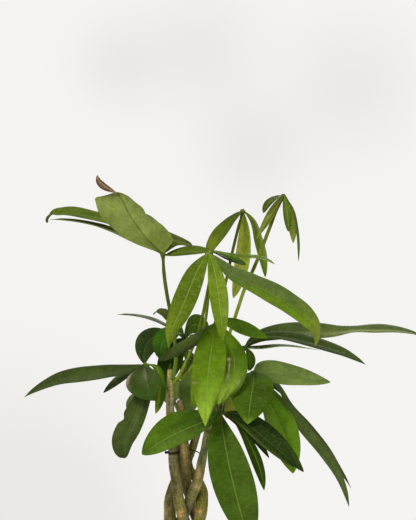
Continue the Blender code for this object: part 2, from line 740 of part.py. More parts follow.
def soil(home, stems):
    """The soil: a slightly mounded plug with a plain hole for each stem."""
    low = POT_FLOOR + FIT_GAP
    profile = [
        (0.0, SOIL_TOP + SOIL_MOUND),
        (wall_radius(SOIL_TOP) * 0.5, SOIL_TOP + SOIL_MOUND * 0.8),
        (wall_radius(SOIL_TOP) - POT_WALL - FIT_GAP, SOIL_TOP),
        (wall_radius(low) - POT_WALL - FIT_GAP, low),
        (0.0, low),
    ]
    made = baked(turned("soil", profile, home))
    for cutter in stems:
        made = combine(made, "DIFFERENCE", cutter)
    made.data.materials.append(material("soil", EARTH, 0.95))
    return made


def tie(home):
    """A turn of wire round one stem, with a knot on its left and a thin loose end."""
    points, radii = stem_line(TIE_STEM)
    centre = np.array([np.interp(TIE_UP, points[:, 2], points[:, i]) for i in (0, 1, 2)])
    reach = np.interp(TIE_UP, points[:, 2], radii) + TIE_RADIUS + FIT_GAP
    angles = np.radians(np.arange(0, 360, 30))
    ring = centre + reach * np.stack([np.cos(angles), np.sin(angles), 0 * angles], axis=1)
    made = tube("tie", ring, [TIE_RADIUS] * len(ring), home, 1, closed=True)
    end = smooth([centre + (reach * 0.9, reach * 0.4, 0)] + [place(*p) for p in TIE_END], 10)
    loose = tube("loose end", end, [TIE_END_RADIUS] * len(end), home, 1)
    knot_line = centre + np.array([(-reach - 0.5, 0, 0), (-reach - 2.2, 0, 0)])
    knot = tube("knot", knot_line, [TIE_KNOT_RADIUS, TIE_KNOT_RADIUS * 0.6], home, 1)
    for piece in (loose, knot):
        made = combine(made, "UNION", piece)
        bpy.data.objects.remove(piece)
    made.data.materials.append(material("tie", WIRE, 0.5))
    return made


def main():
    for obj in list(bpy.data.objects):
        bpy.data.objects.remove(obj)
    tree = collection("potted money tree")
    cutters = collection("cutters")
    fat_stems = [stem_cutter(i, cutters) for i in range(STEM_COUNT)]
    pot(tree)
    soil(tree, fat_stems)
    for i in range(STEM_COUNT):
        stem(i, tree)
    tie(tree)
    for plan in LEAVES:
        leaf(plan, tree, fat_stems)


main()
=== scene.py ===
# %% [markdown]
# # Potted money tree
# The real plant is a young Pachira: five thin stems braided while they were soft, palm-shaped leaves
# on long stalks, and a pot of peat. Its solids are already packed as a fixed frame. This lesson lays
# fine leaves, bark, soil and glaze over that frame, so nothing here may move or outgrow it.
# Lengths in the lesson are millimetres, and MM turns them into Blender's metres.

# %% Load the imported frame
import math
from collections import namedtuple

import bpy
import numpy as np
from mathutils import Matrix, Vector


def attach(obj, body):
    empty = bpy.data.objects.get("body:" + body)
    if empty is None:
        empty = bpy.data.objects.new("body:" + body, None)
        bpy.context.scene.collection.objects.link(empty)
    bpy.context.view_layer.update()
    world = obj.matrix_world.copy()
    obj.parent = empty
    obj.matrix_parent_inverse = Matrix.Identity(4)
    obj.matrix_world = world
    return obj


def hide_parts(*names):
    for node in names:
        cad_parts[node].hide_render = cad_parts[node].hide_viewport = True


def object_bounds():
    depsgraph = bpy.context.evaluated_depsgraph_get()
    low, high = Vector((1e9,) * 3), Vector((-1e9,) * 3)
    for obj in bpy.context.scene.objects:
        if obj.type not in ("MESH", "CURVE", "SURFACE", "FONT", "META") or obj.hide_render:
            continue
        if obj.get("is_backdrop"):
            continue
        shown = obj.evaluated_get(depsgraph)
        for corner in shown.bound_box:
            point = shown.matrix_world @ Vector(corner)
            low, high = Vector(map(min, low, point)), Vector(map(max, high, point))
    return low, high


MM = 0.001
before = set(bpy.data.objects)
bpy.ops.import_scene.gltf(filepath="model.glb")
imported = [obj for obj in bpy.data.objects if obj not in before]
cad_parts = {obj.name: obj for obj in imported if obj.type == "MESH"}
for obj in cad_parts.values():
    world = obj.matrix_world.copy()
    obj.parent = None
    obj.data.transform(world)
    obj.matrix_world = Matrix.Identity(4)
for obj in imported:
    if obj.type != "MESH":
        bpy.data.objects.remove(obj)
cad_box = [list(corner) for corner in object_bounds()]
print("nodes in the frame:", len(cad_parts))
print("frame box in mm:", [[round(v / MM) for v in corner] for corner in cad_box])

# %% [markdown]
# ## The camera
# The picture was taken level with the crown from 1.6 m away, slightly right of the trunk. The crown
# is set out from that same eye, so the camera has to stand exactly there. A long lens of 100.7 mm
# gives the narrow field that keeps the stems upright and parallel.

# %% Put the camera at the eye
EYE_ACROSS = 23.65
EYE_DISTANCE = 1600.0
EYE_UP = 599.0
# The lens and the sensor's width in millimetres, and how far the camera sees in metres.
LENS = 100.7
SENSOR_WIDTH = 36
FAR_CLIP = 30


def make_camera():
    """A level camera at the eye, looking along +Y."""
    camera = bpy.data.objects.new("camera", bpy.data.cameras.new("camera"))
    bpy.context.scene.collection.objects.link(camera)
    camera.location = (EYE_ACROSS * MM, -EYE_DISTANCE * MM, EYE_UP * MM)
    camera.rotation_euler = (math.pi / 2, 0, 0)
    camera.data.sensor_width = SENSOR_WIDTH
    camera.data.lens = LENS
    camera.data.clip_end = FAR_CLIP
    return camera


bpy.context.scene.camera = make_camera()
bpy.context.scene.view_settings.view_transform = "Standard"
print("camera at", tuple(round(v, 3) for v in bpy.context.scene.camera.location))

# %% [markdown]
# ## The studio
# The plant stands in a white room with large soft lamps. A lamp's brightness is easier to choose as
# the share of full white that it gives to a white card facing it. A lamp of P watts at a distance d
# lights such a card to P / (pi * pi * d * d), so the share is turned round to find the watts.
# The background that the camera sees is a pale warm grey. What the leaves receive and mirror from
# that room is set lower, because a real room is darker behind the camera than the backdrop is.

# %% Soft lamps
AIM = Vector((20, 0, 480)) * MM
# Each lamp: its name, its place and size in metres, and its share of full white.
LAMPS = (
    ("key_lamp", (-0.9, -1.7, 2.1), 0.9, 0.62),
    ("fill_lamp", (1.7, -1.3, 1.1), 1.2, 0.22),
    ("back_lamp", (0.4, 1.9, 1.7), 1.2, 0.40),
)


def soft_lamp(name, at, size, share):
    """A square soft lamp that lights a card at AIM to the given share of full white."""
    data = bpy.data.lights.new(name, "AREA")
    data.shape = "SQUARE"
    data.size = size
    away = AIM - Vector(at)
    data.energy = share * math.pi**2 * away.length ** 2
    lamp = bpy.data.objects.new(name, data)
    bpy.context.scene.collection.objects.link(lamp)
    lamp.location = at
    lamp.rotation_euler = away.to_track_quat("-Z", "Y").to_euler()
    lamp.visible_camera = False
    print(name, "watts:", round(data.energy, 1))


for lamp_plan in LAMPS:
    soft_lamp(*lamp_plan)

# %% [markdown]
# The room itself is Blender's world. One colour is seen by the camera, another lights the plant, and
# the Light Path node chooses between them. A few wide soft spots, placed by the direction they lie
# in, give the backdrop its faint uneven shade.

# %% The room around the plant
BACKDROP = (0.913, 0.905, 0.885)
BACKDROP_SHADE = (0.80, 0.785, 0.765)
ROOM = (0.95, 0.98, 1.0)
ROOM_SHARE = 0.42
SHADE_STRENGTH = 0.75
# Each soft spot: where it lies to the right and up, as a share of the way to the wall, and its reach.
SOFT_SPOTS = (
    (-0.005, 0.145, 0.040), (-0.062, 0.135, 0.030), (0.030, 0.075, 0.035), (0.100, 0.120, 0.045),
    (-0.145, -0.155, 0.080), (-0.10, -0.19, 0.06),
)


def node(tree, kind, **settings):
    """A new node in the tree, with its settings made."""
    made = tree.nodes.new(kind)
    for key, value in settings.items():
        setattr(made, key, value)
    return made


def feed(tree, target, value):
    """Gives an input socket its value: another node's output, or a constant."""
    if isinstance(value, bpy.types.NodeSocket):
        tree.links.new(value, target)
    else:
        target.default_value = value


def maths(tree, operation, a, b=0.0, c=0.0, clamp=False):
    """The result of a Math node."""
    made = node(tree, "ShaderNodeMath", operation=operation, use_clamp=clamp)
    for socket, value in zip(made.inputs, (a, b, c)):
        feed(tree, socket, value)
    return made.outputs[0]


def times(tree, a, b):
    """a * b."""
    return maths(tree, "MULTIPLY", a, b)


def plus(tree, a, b):
    """a + b."""
    return maths(tree, "ADD", a, b)


def times_plus(tree, a, b, c):
    """a * b + c."""
    return maths(tree, "MULTIPLY_ADD", a, b, c)


def blend(tree, share, first, second, kind="MIX"):
    """Two colours mixed by a share."""
    made = node(tree, "ShaderNodeMix", data_type="RGBA", blend_type=kind)
    for name, value in (("Factor_Float", share), ("A_Color", first), ("B_Color", second)):
        target = next(s for s in made.inputs if s.identifier == name)
        if isinstance(value, tuple) and len(value) == 3:
            value = (*value, 1.0)
        feed(tree, target, value)
    return next(s for s in made.outputs if s.identifier == "Result_Color")


def soft_spot(tree, direction, across, up, reach):
    """How strongly a view direction falls into a soft spot: exp of minus the squared distance."""
    away = node(tree, "ShaderNodeVectorMath", operation="DISTANCE")
    tree.links.new(direction, away.inputs[0])
    away.inputs[1].default_value = (across, 1, up)
    squared = maths(tree, "POWER", maths(tree, "DIVIDE", away.outputs["Value"], reach), 2.0)
    return maths(tree, "EXPONENT", times(tree, squared, -1.0))


def make_room():
    """The world: backdrop for the camera, even pale light for everything else."""
    world = bpy.data.worlds.new("room")
    world.use_nodes = True
    tree = world.node_tree
    tree.nodes.clear()
    direction = node(tree, "ShaderNodeTexCoord").outputs["Generated"]
    shade = 0.0
    for across, up, reach in SOFT_SPOTS:
        shade = maths(tree, "ADD", shade, soft_spot(tree, direction, across, up, reach), clamp=True)
    seen = blend(tree, times(tree, shade, SHADE_STRENGTH), BACKDROP, BACKDROP_SHADE)
    light_path = node(tree, "ShaderNodeLightPath")
    room = tuple(ROOM_SHARE * v for v in ROOM)
    colour = blend(tree, light_path.outputs["Is Camera Ray"], room, seen)
    background = node(tree, "ShaderNodeBackground")
    tree.links.new(colour, background.inputs["Color"])
    out = node(tree, "ShaderNodeOutputWorld")
    tree.links.new(background.outputs[0], out.inputs["Surface"])
    bpy.context.scene.world = world
    print("soft spots on the backdrop:", len(SOFT_SPOTS))


make_room()

# %% [markdown]
# ## The floor
# The picture stops above the pot, so the floor is only seen from other sides. It is a pale round
# board whose edge fades out, so that no hard line shows against the backdrop: its Alpha falls
# smoothly with the distance from the middle.

# %% A pale floor that fades out
# In metres: how far the floor reaches, and up to where it is fully there.
FLOOR_REACH = 1.3
FLOOR_FULL = 0.45
FLOOR_RINGS, FLOOR_SIDES = 12, 64
FLOOR_COLOUR = (0.80, 0.79, 0.77, 1)
FLOOR_ROUGHNESS, FLOOR_SPECULAR = 0.9, 0.1


def new_material(name):
    """An empty material with a Principled shader. Returns the material, its tree and the shader."""
    made = bpy.data.materials.new(name)
    made.use_nodes = True
    tree = made.node_tree
    return made, tree, tree.nodes["Principled BSDF"]


def object_place(tree):
    """The point's own place on its piece, for patterns that fill space."""
    return node(tree, "ShaderNodeTexCoord").outputs["Object"]


def ramp(tree, value, low, high, start=0.0, end=1.0):
    """A smooth step from start to end while value goes from low to high."""
    made = node(tree, "ShaderNodeMapRange", interpolation_type="SMOOTHSTEP")
    names = ("Value", "From Min", "From Max", "To Min", "To Max")
    for name, given in zip(names, (value, low, high, start, end)):
        feed(tree, made.inputs[name], given)
    return made.outputs["Result"]


def floor_material():
    """Plain pale board that fades out towards its edge."""
    made, tree, shader = new_material("floor")
    shader.inputs["Base Color"].default_value = FLOOR_COLOUR
    shader.inputs["Roughness"].default_value = FLOOR_ROUGHNESS
    shader.inputs["Specular IOR Level"].default_value = FLOOR_SPECULAR
    away = node(tree, "ShaderNodeVectorMath", operation="LENGTH")
    tree.links.new(object_place(tree), away.inputs[0])
    fade = ramp(tree, away.outputs["Value"], FLOOR_FULL, FLOOR_REACH, 1.0, 0.0)
    tree.links.new(fade, shader.inputs["Alpha"])
    return made


def ring_angles(sides):
    """Equal steps round a whole turn."""
    return np.linspace(0, 2 * np.pi, sides + 1)[:-1]


def ring_grid(rows, cols):
    """Faces joining a rows x cols grid of points, numbered row by row, with the last column joined
    to the first."""
    r, c = np.meshgrid(np.arange(rows - 1), np.arange(cols), indexing="ij")
    a, b = r * cols + c, r * cols + (c + 1) % cols
    return np.stack([a, b, b + cols, a + cols], axis=-1).reshape(-1, 4)


def make_floor():
    """A disc: the points are radius times (cos, sin) of the angle, on a grid of radius and angle."""
    radius = np.linspace(0.001, FLOOR_REACH, FLOOR_RINGS)[:, None]
    angle = ring_angles(FLOOR_SIDES)
    points = np.stack([radius * np.cos(angle), radius * np.sin(angle), 0 * radius * angle], axis=-1)
    faces = ring_grid(FLOOR_RINGS, FLOOR_SIDES)[:, ::-1]
    mesh = bpy.data.meshes.new("floor")
    mesh.from_pydata(points.reshape(-1, 3).tolist(), [], faces.tolist())
    mesh.materials.append(floor_material())
    floor = bpy.data.objects.new("floor", mesh)
    bpy.context.scene.collection.objects.link(floor)
    floor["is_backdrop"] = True
    print("floor reaches", FLOOR_REACH, "m from the pot's middle")


make_floor()

# %% [markdown]
# ## Surfaces from arrays
# Every piece of the plant is a surface over two parameters: along and around, or along and across.
# Each part of it is kept as arrays of points and faces with a few measurements at each point, which
# the materials read later. `tint` is the point's own colour, `blade` its place on the leaf or bark
# in millimetres, `edge` runs from 0 at the midrib to 1 at the margin, `rib` and `vein` say how pale
# the midrib and the side veins are, `gloss` how shiny the point is, and `pitch` how far apart the
# side veins are there.

# %% Collect surfaces and put them into one mesh
Surface = namedtuple("Surface", "points faces tint blade edge rib vein gloss pitch")
MEASURES = ("edge", "rib", "vein", "gloss", "pitch")
PLAIN_PITCH = 6


def joined(surfaces):
    """Several surfaces as one, the faces of each moved on by the points before it."""
    starts = np.cumsum([0] + [len(s.points) for s in surfaces[:-1]])
    faces = np.concatenate([s.faces + start for s, start in zip(surfaces, starts)])
    rest = [np.concatenate([getattr(s, f) for s in surfaces]) for f in Surface._fields if f != "faces"]
    return Surface(rest[0], faces, *rest[1:])


def plain_surface(points, faces, tint, gloss=0.5):
    """A surface with no leaf pattern: one tint, or one for each point."""
    count = len(points)
    tints = np.broadcast_to(np.asarray(tint, float), (count, 3)).copy()
    none = np.zeros(count)
    blade = np.zeros((count, 2))
    return Surface(points, faces, tints, blade, none, none, none, none + gloss, none + PLAIN_PITCH)


def write_attribute(mesh, name, kind, values, key="value"):
    """One measurement at every point of the mesh."""
    layer = mesh.attributes.new(name, kind, "POINT")
    layer.data.foreach_set(key, values.astype(np.float32).ravel())


def make_piece(name, surface, material, slot, *nodes):
    """Turns a surface in millimetres into a smooth mesh object that rides on the frame and stands
    for the given solids."""
    mesh = bpy.data.meshes.new(name)
    mesh.from_pydata((surface.points * MM).tolist(), [], surface.faces.tolist())
    mesh.shade_smooth()
    opaque = np.ones(len(surface.tint))
    write_attribute(mesh, "tint", "FLOAT_COLOR", np.c_[surface.tint, opaque], "color")
    for measure in MEASURES:
        write_attribute(mesh, measure, "FLOAT", getattr(surface, measure))
    corners = np.zeros(len(mesh.loops), np.int32)
    mesh.loops.foreach_get("vertex_index", corners)
    blade_map = mesh.uv_layers.new(name="blade")
    blade_map.data.foreach_set("uv", surface.blade[corners].astype(np.float32).ravel())
    mesh.materials.append(material)
    piece = bpy.data.objects.new(name, mesh)
    bpy.context.scene.collection.objects.link(piece)
    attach(piece, "root")
    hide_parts(*nodes)
    return piece


print("kept at every point:", ", ".join(Surface._fields[2:]))

# %% [markdown]
# ## Curves through a few places
# The crown is set out from the eye: a place is read across and up on the upright plane through the
# pot's middle, then pushed along the line of sight to its own depth. A stalk or a midrib is a smooth
# curve through a handful of such places. A cubic Hermite curve passes through every place with the
# slope of its neighbours, and is then cut into equal steps.

# %% Places, smooth curves and directions
# Fine steps on a curve for each of its places, and the lowest turn a wave makes in a length of 1.
CURVE_STEPS = 40
SLOWEST_WAVE = 0.6
PHASE_SPAN = 6.283


def place(readings):
    """across and up shrink or grow with distance / EYE_DISTANCE about the eye's own height."""
    across, up, depth = np.asarray(readings, float).T
    grow = (EYE_DISTANCE + depth) / EYE_DISTANCE
    x, z = EYE_ACROSS + (across - EYE_ACROSS) * grow, EYE_UP + (up - EYE_UP) * grow
    return np.stack([x, depth, z], axis=-1)


def unit(vectors):
    """Each vector at length 1."""
    return vectors / np.linalg.norm(vectors, axis=-1, keepdims=True)


def run_length(points):
    """The distance along the points to each of them, from 0."""
    steps = np.linalg.norm(np.diff(points[:, :3], axis=0), axis=1)
    return np.concatenate(([0.0], np.cumsum(steps)))


def smooth(points, count):
    """count points in equal steps on the Hermite curve through the given points: each stretch is
    the sum of its two ends and their slopes, weighted by the four cubic Hermite polynomials."""
    p = np.array(points, float)
    u = np.concatenate(([0.0], np.cumsum(np.linalg.norm(np.diff(p, axis=0), axis=1))))
    slope = np.gradient(p, u, axis=0, edge_order=2)
    fine = np.linspace(0.0, u[-1], CURVE_STEPS * len(p))
    k = np.clip(np.searchsorted(u, fine, side="right") - 1, 0, len(p) - 2)
    h = (u[k + 1] - u[k])[:, None]
    x = (fine - u[k])[:, None] / h
    line = (2 * x**3 - 3 * x**2 + 1) * p[k] + (x**3 - 2 * x**2 + x) * h * slope[k]
    line += (3 * x**2 - 2 * x**3) * p[k + 1] + (x**3 - x**2) * h * slope[k + 1]
    run = run_length(line)
    even = np.linspace(0.0, run[-1], count)
    return np.stack([np.interp(even, run, line[:, i]) for i in range(p.shape[1])], axis=1)


def ripple(x, y, seed, waves=7):
    """Smooth unevenness between about -1 and 1: a sum of waves in seeded random directions."""
    rng = np.random.default_rng(seed)
    total = 0.0
    for angle, phase, pitch in rng.random((waves, 3)):
        turn = 2 * np.pi * angle
        run = x * np.cos(turn) + y * np.sin(turn)
        total = total + np.sin(run * (SLOWEST_WAVE + pitch) + PHASE_SPAN * phase)
    return total / waves**0.5


def smoothstep(x, low, high):
    """0 below low, 1 above high, and s * s * (3 - 2 * s) between."""
    s = np.clip((x - low) / (high - low), 0, 1)
    return s * s * (3 - 2 * s)


print("the eye's own place:", place((EYE_ACROSS, EYE_UP, 0)).round(1))

# %% [markdown]
# ## Round stalks
# A stalk, a stem and a wire are the same idea: a ring of points carried along a curve. Each ring
# stands square to the curve, and its starting direction is turned as little as possible from ring
# to ring, so that the skin doesn't twist. The ends of a stalk or stem are rounded off to a tiny ring,
# and every skin is closed by strips of faces across its first and last ring.

# %% Tubes along a curve
# A direction that no stalk or stem runs along, and the radius that a rounded end comes down to.
GUIDE = (0.3, -1.0, 0.2)
POINT_RADIUS = 0.02


def ring_frames(line):
    """Two directions square to the curve at each point. The first is carried along: its part along
    the new tangent is taken away at each step."""
    along = unit(np.gradient(line, axis=0))
    first = np.zeros_like(line)
    guide = unit(np.cross(along[0], GUIDE))
    for i, tangent in enumerate(along):
        guide = unit(guide - (guide @ tangent) * tangent)
        first[i] = guide
    return first, np.cross(along, first)


def tube_points(line, radii, sides, relief=None):
    """centre + radius * (cos(angle) * first + sin(angle) * second) on a grid of length and angle."""
    first, second = ring_frames(line)
    angle = ring_angles(sides)
    reach = np.repeat(radii[:, None], sides, axis=1)
    if relief is not None:
        reach = reach + relief(run_length(line)[:, None], angle[None, :])
    cos, sin = np.cos(angle)[None, :, None], np.sin(angle)[None, :, None]
    return line[:, None] + (cos * first[:, None] + sin * second[:, None]) * reach[..., None]


def skin_faces(rows, cols):
    """A closed skin: the ring grid, with strips of faces across its first and its last row."""
    i = np.arange(cols // 2 - 1)
    cap = np.stack([i, cols - 1 - i, cols - 2 - i, i + 1], axis=-1)
    return np.concatenate([ring_grid(rows, cols), cap, cap[:, ::-1] + (rows - 1) * cols])


def closed_line(line, radii, rounding=0.7):
    """The curve and its radii with both ends rounded off to a tiny ring in its own length."""
    run = run_length(line)
    left = np.minimum(run, run[-1] - run)
    cap = np.maximum(radii[0], radii[-1]) * rounding
    share = np.clip(left / cap, 0, 1)
    return line, np.maximum(radii * np.sqrt(1 - (1 - share) ** 2), POINT_RADIUS)


def tube(line, radii, sides, tint, gloss=0.5):
    """A tube as a plain surface. tint is a colour, or a function of the points."""
    points = tube_points(line, radii, sides).reshape(-1, 3)
    colour = tint(points) if callable(tint) else tint
    return plain_surface(points, skin_faces(len(line), sides), colour, gloss)


print("a closed tube of 10 rings with 6 sides has", len(skin_faces(10, 6)), "faces")

# %% [markdown]
# ## The plan of the leaves
# Each leaf is a hub, a stalk from its stem and a few leaflets. A leaflet is a midrib through some
# places, a greatest width and the way its upper side looks. Its outline is the curve
# x^rise * (1 - x)^fall, which starts and ends at nothing and is widest at rise / (rise + fall).
# Real leaflets are seldom even, so a side can be wider, bitten by a dent, or end before its tip.

# %% What a leaf and a leaflet are made of
# Half widths in millimetres: of a leaflet's own stalk, of a dried tail's tip, of any other tip, and
# what a dried tail swells by. FOLD is the rise of a half for each millimetre of its reach.
STALK_END_HALF = 1.1
TIP_HALF = 0.45
SHARP_TIP_HALF = 0.12
TAIL_HALF = 3.0
FOLD = 0.16
# The leaf's stalk and the hub it ends in.
STALK_ROW_LENGTH = 17.0
STALK_RADIUS = 1.7
STALK_FOOT_SWELL = 1.25
HUB_RADIUS = 3.1
HUB_LEAD = 5.0
HUB_END = 2.2
HUB_END_SHARE = 0.55
# The rise and fall of two usual outlines, and the names of the two leaf materials.
POINTED = (0.95, 0.75)
SLENDER = (1.05, 1.05)
YOUNG = "young_leaf"
MATURE = "mature_leaf"

# midrib: places after the hub, to the tip. faces: where the upper side looks, as (right, up, away).
# outline: how the width rises from the hub and falls to the tip, where the two sides differ for the
# left-hand side and then the right. uneven: extra share of the right-hand half. dents: (side, place,
# depth, length) bites out of one margin. tail: where the blade ends and a dried strip of its midrib
# goes on. sweep: how far the margins run ahead of the midrib at the tip.
Leaflet = namedtuple(
    "Leaflet",
    "midrib width faces outline twist uneven dents tail sweep",
    defaults=(POINTED, 0.0, 0.0, (), 1.0, 0.0),
)
Leaf = namedtuple("Leaf", "name hub stalk leaflets colour radius", defaults=(STALK_RADIUS,))
LEAVES = []
print("a leaflet is given by:", ", ".join(Leaflet._fields))

# %% [markdown]
# The leaf whose pale back shows at the upper left, with its dried tip, and the two leaves in the
# middle whose stalks run up together from the left stem.

# %% The two high leaves on the left and in front
LEAVES.append(Leaf(
    "leaf_upper_left", hub=(-26, 606, -10), colour=MATURE, radius=2.0,
    stalk=((-17, 466, -3), (-12, 482, -9), (-12.5, 505, -11), (-15.8, 530, -10), (-20.6, 556, -10),
           (-24.3, 580, -10)),
    leaflets=(
        Leaflet(((-42, 621.5, -24), (-55, 637.5, -38), (-64.5, 652, -52), (-71, 665.5, -63),
            (-76.5, 672, -68), (-84, 676, -72), (-91, 680, -75), (-96.5, 685.5, -78),
            (-98, 692, -80)), 50.5, (0.05, 0.15, 1), ((0.19, 0.78), (1.1, 0.4)), uneven=0.13,
            dents=((0, 0.45, 0.25, 0.1),), tail=0.77, sweep=0.8),
        Leaflet(((-62, 632.5, 8), (-105, 647, 14), (-137, 650.3, 14), (-149, 648.2, 13),
            (-153.4, 639.6, 12)), 30, (0.1, 1, -0.4), (0.95, 0.42)),
        Leaflet(((-56, 618.5, 0), (-95, 635.2, 6), (-150, 643.6, 8)), 27, (0, 1, -0.17), SLENDER),
        Leaflet(((-17, 621, 4), (-8, 619.5, 16), (6, 616, 31)), 27, (0.1, 0.75, -0.7), (0.6, 0.6)),
        Leaflet(((-38, 634, 30), (-62, 648, 62), (-78, 646, 96)), 30, (-0.3, 1, 0.2)),
    ),
))
LEAVES.append(Leaf(
    "leaf_centre_front", hub=(24, 607, -55), colour=YOUNG,
    stalk=((-17, 460, -3), (-11, 463, -4), (-6, 477, -8), (1.5, 491, -11), (9.6, 510, -16),
           (16.6, 533, -25), (20.6, 552, -33), (25, 574, -42), (27, 592, -49)),
    leaflets=(
        Leaflet(((11.8, 587, -71), (1.5, 562, -79), (-8, 540, -80), (-15, 525, -77),
            (-19.5, 501, -70)), 26, (-0.25, 0.3, -1), (0.98, 1.05)),
        Leaflet(((30, 590, -70), (33.4, 573, -78), (36.4, 550, -83), (38.5, 528, -84),
            (40, 509, -81)), 19.5, (0.1, 0.2, -1), (0.95, 0.9)),
        Leaflet(((36, 596, -60), (50, 584, -64), (70, 573.4, -68), (90, 562.8, -71),
            (113.4, 548.8, -73), (130.4, 536.2, -74), (140.2, 524, -74), (141, 504, -72)),
            34.5, (0.15, 0.78, -0.62), (0.85, 0.6)),
    ),
))
LEAVES.append(Leaf(
    "leaf_centre_level", hub=(27, 609, -8), colour=YOUNG,
    stalk=((-17, 468, -3), (-11, 469, 2), (-3, 471, 5), (5, 478, 4), (9, 488, 2), (13, 500, 0),
           (20.4, 530, -3), (23.2, 552, -4), (26, 577, -6)),
    leaflets=(
        Leaflet(((4, 608.2, -8), (-10, 606.4, -7), (-24, 604, -6)), 23, (0, 1, -0.47), (0.75, 0.8)),
        Leaflet(((45, 605, -11), (62, 601.8, -12), (80, 600.8, -13), (88, 598.8, -13),
            (97, 594.3, -13)), 20, (0, 1, -0.22)),
        Leaflet(((45, 601.5, 2), (66, 593.5, 8)), 21, (0.1, 1, -0.5)),
    ),
))
print("leaves planned so far:", len(LEAVES))

# %% [markdown]
# The two young leaves at the very top still hang folded, their tips down.

# %% The top leaves
LEAVES.append(Leaf(
    "leaf_top_centre", hub=(62, 653.4, 22), colour=YOUNG,
    stalk=((25, 458, 33), (30, 480, 26), (32, 510, 20), (37, 545, 19), (44, 578, 20),
           (51, 610, 21)),
    leaflets=(
        Leaflet(((51.5, 645, 15), (39.2, 629.4, 10), (28, 614.4, 9), (21.2, 601.6, 9)), 25,
            (-0.6, 0.7, -0.6)),
        Leaflet(((63.8, 628, 34), (61.8, 600, 40), (51.3, 557, 38)), 17.2, (-0.1, 0.3, 1)),
        Leaflet(((71.2, 643, 26), (78, 620, 32), (83, 600, 32), (86.6, 580, 30)), 22.5,
            (0.75, 0.5, -0.5)),
        Leaflet(((48, 641, 48), (32, 618, 72)), 22, (-0.5, 0.8, 0.4)),
    ),
))
LEAVES.append(Leaf(
    "leaf_top_right", hub=(107, 670, 10), colour=YOUNG, radius=2.0,
    stalk=((37, 457, 1), (39, 478, 4), (42, 500, 5), (48, 520, 5), (54.8, 540, 6), (63, 565, 7),
           (74.6, 591, 8), (89.8, 630, 9), (101.6, 660, 10)),
    leaflets=(
        Leaflet(((100, 668.2, 3), (93.4, 664, -1), (88, 657.6, -4), (84.8, 650.4, -5)), 14,
            (-0.5, 0.8, -0.5)),
        Leaflet(((97.5, 656, 1), (91, 646, -2), (85, 636, -4), (80.5, 628.5, -4), (76.5, 621, -4)),
            10.5, (-0.4, 0.3, 0.9), (0.8, 1.1)),
        Leaflet(((116.2, 656, 8), (120.8, 635, 6), (123, 598, 4)), 11.4, (0.9, 0.4, -0.3)),
        Leaflet(((110.6, 652, -2), (112, 630, -4)), 9.5, (0.1, 0.2, -1)),
        Leaflet(((114, 650, 22), (117.4, 617.5, 24)), 10, (0.2, 0.3, 1)),
    ),
))
print("leaves planned so far:", len(LEAVES))

# %% [markdown]
# A dark leaf reaches far to the right, past the picture's edge, and a bright young one hangs in
# front of the stems.

# %% The leaves to the right
LEAVES.append(Leaf(
    "leaf_right_upper", hub=(64, 503, 8), colour=MATURE,
    stalk=((36, 447, -1), (42, 460, 6), (50, 478, 9), (58, 494, 9)),
    leaflets=(
        Leaflet(((77, 513, 0), (92, 515, -4), (112, 513.6, -9), (135, 508.8, -13),
            (155, 503.2, -16), (175, 496.4, -18), (197, 484, -18)), 24, (0, 0.9, -0.45),
            ((1.05, 0.95), (1.5, 0.9))),
        Leaflet(((79, 514.2, 14), (95, 518.4, 22), (120, 520.5, 28), (150, 520, 34), (165, 520, 36),
            (180, 521.6, 38), (200, 522.2, 41), (225, 521.8, 43), (240, 519.8, 44),
            (252, 517, 45), (264, 511.5, 46), (273, 505, 46)), 34, (0, 0.88, -0.477),
            ((0.8, 0.7), (0.6, 0.7)), twist=41,
            dents=((0, 0.58, 0.42, 0.16), (1, 0.58, 0.42, 0.16))),
        Leaflet(((80, 501.8, 16), (105, 504.3, 22), (128, 502.6, 28), (146, 499.8, 31)), 18,
            (0, 1, -0.13), (0.45, 1.4)),
        Leaflet(((69.6, 494, 6), (68.2, 477, 4)), 12, (0.5, 0.2, -0.8)),
        Leaflet(((80, 511, 34), (100, 513, 88)), 26, (0.1, 1, 0)),
    ),
))
LEAVES.append(Leaf(
    "leaf_bright_front", hub=(33, 531, -28), colour=YOUNG,
    stalk=((35, 440, -1), (33, 446, -9), (31, 470, -18), (31, 500, -25)),
    leaflets=(
        Leaflet(((28, 505, -54), (23, 465, -76), (20.8, 416, -86)), 35, (-0.05, 0.25, -1),
            (0.9, 0.98)),
        Leaflet(((45, 510, -42), (52.5, 488, -52), (49.5, 466, -62), (34.5, 440, -66)), 29,
            (0.35, 0.15, -1), ((1.2, 1.05), (0.95, 0.75))),
        Leaflet(((45, 530.5, -30), (60, 524.8, -30), (75, 518.8, -29), (90, 513.2, -28)), 17.5,
            (0.05, 0.6, -0.8), (0.95, 0.95)),
        Leaflet(((15, 515, -36), (2, 505.6, -42), (-12, 497.6, -46), (-31, 487.8, -48)), 20,
            (-0.25, 0.85, -0.6)),
        Leaflet(((19, 500, -32), (12, 465, -34), (7, 438, -34)), 15, (-0.1, 0.2, -1)),
    ),
))
print("leaves planned so far:", len(LEAVES))

# %% [markdown]
# The lowest leaves are old and large. They spread to the right and over the braid.

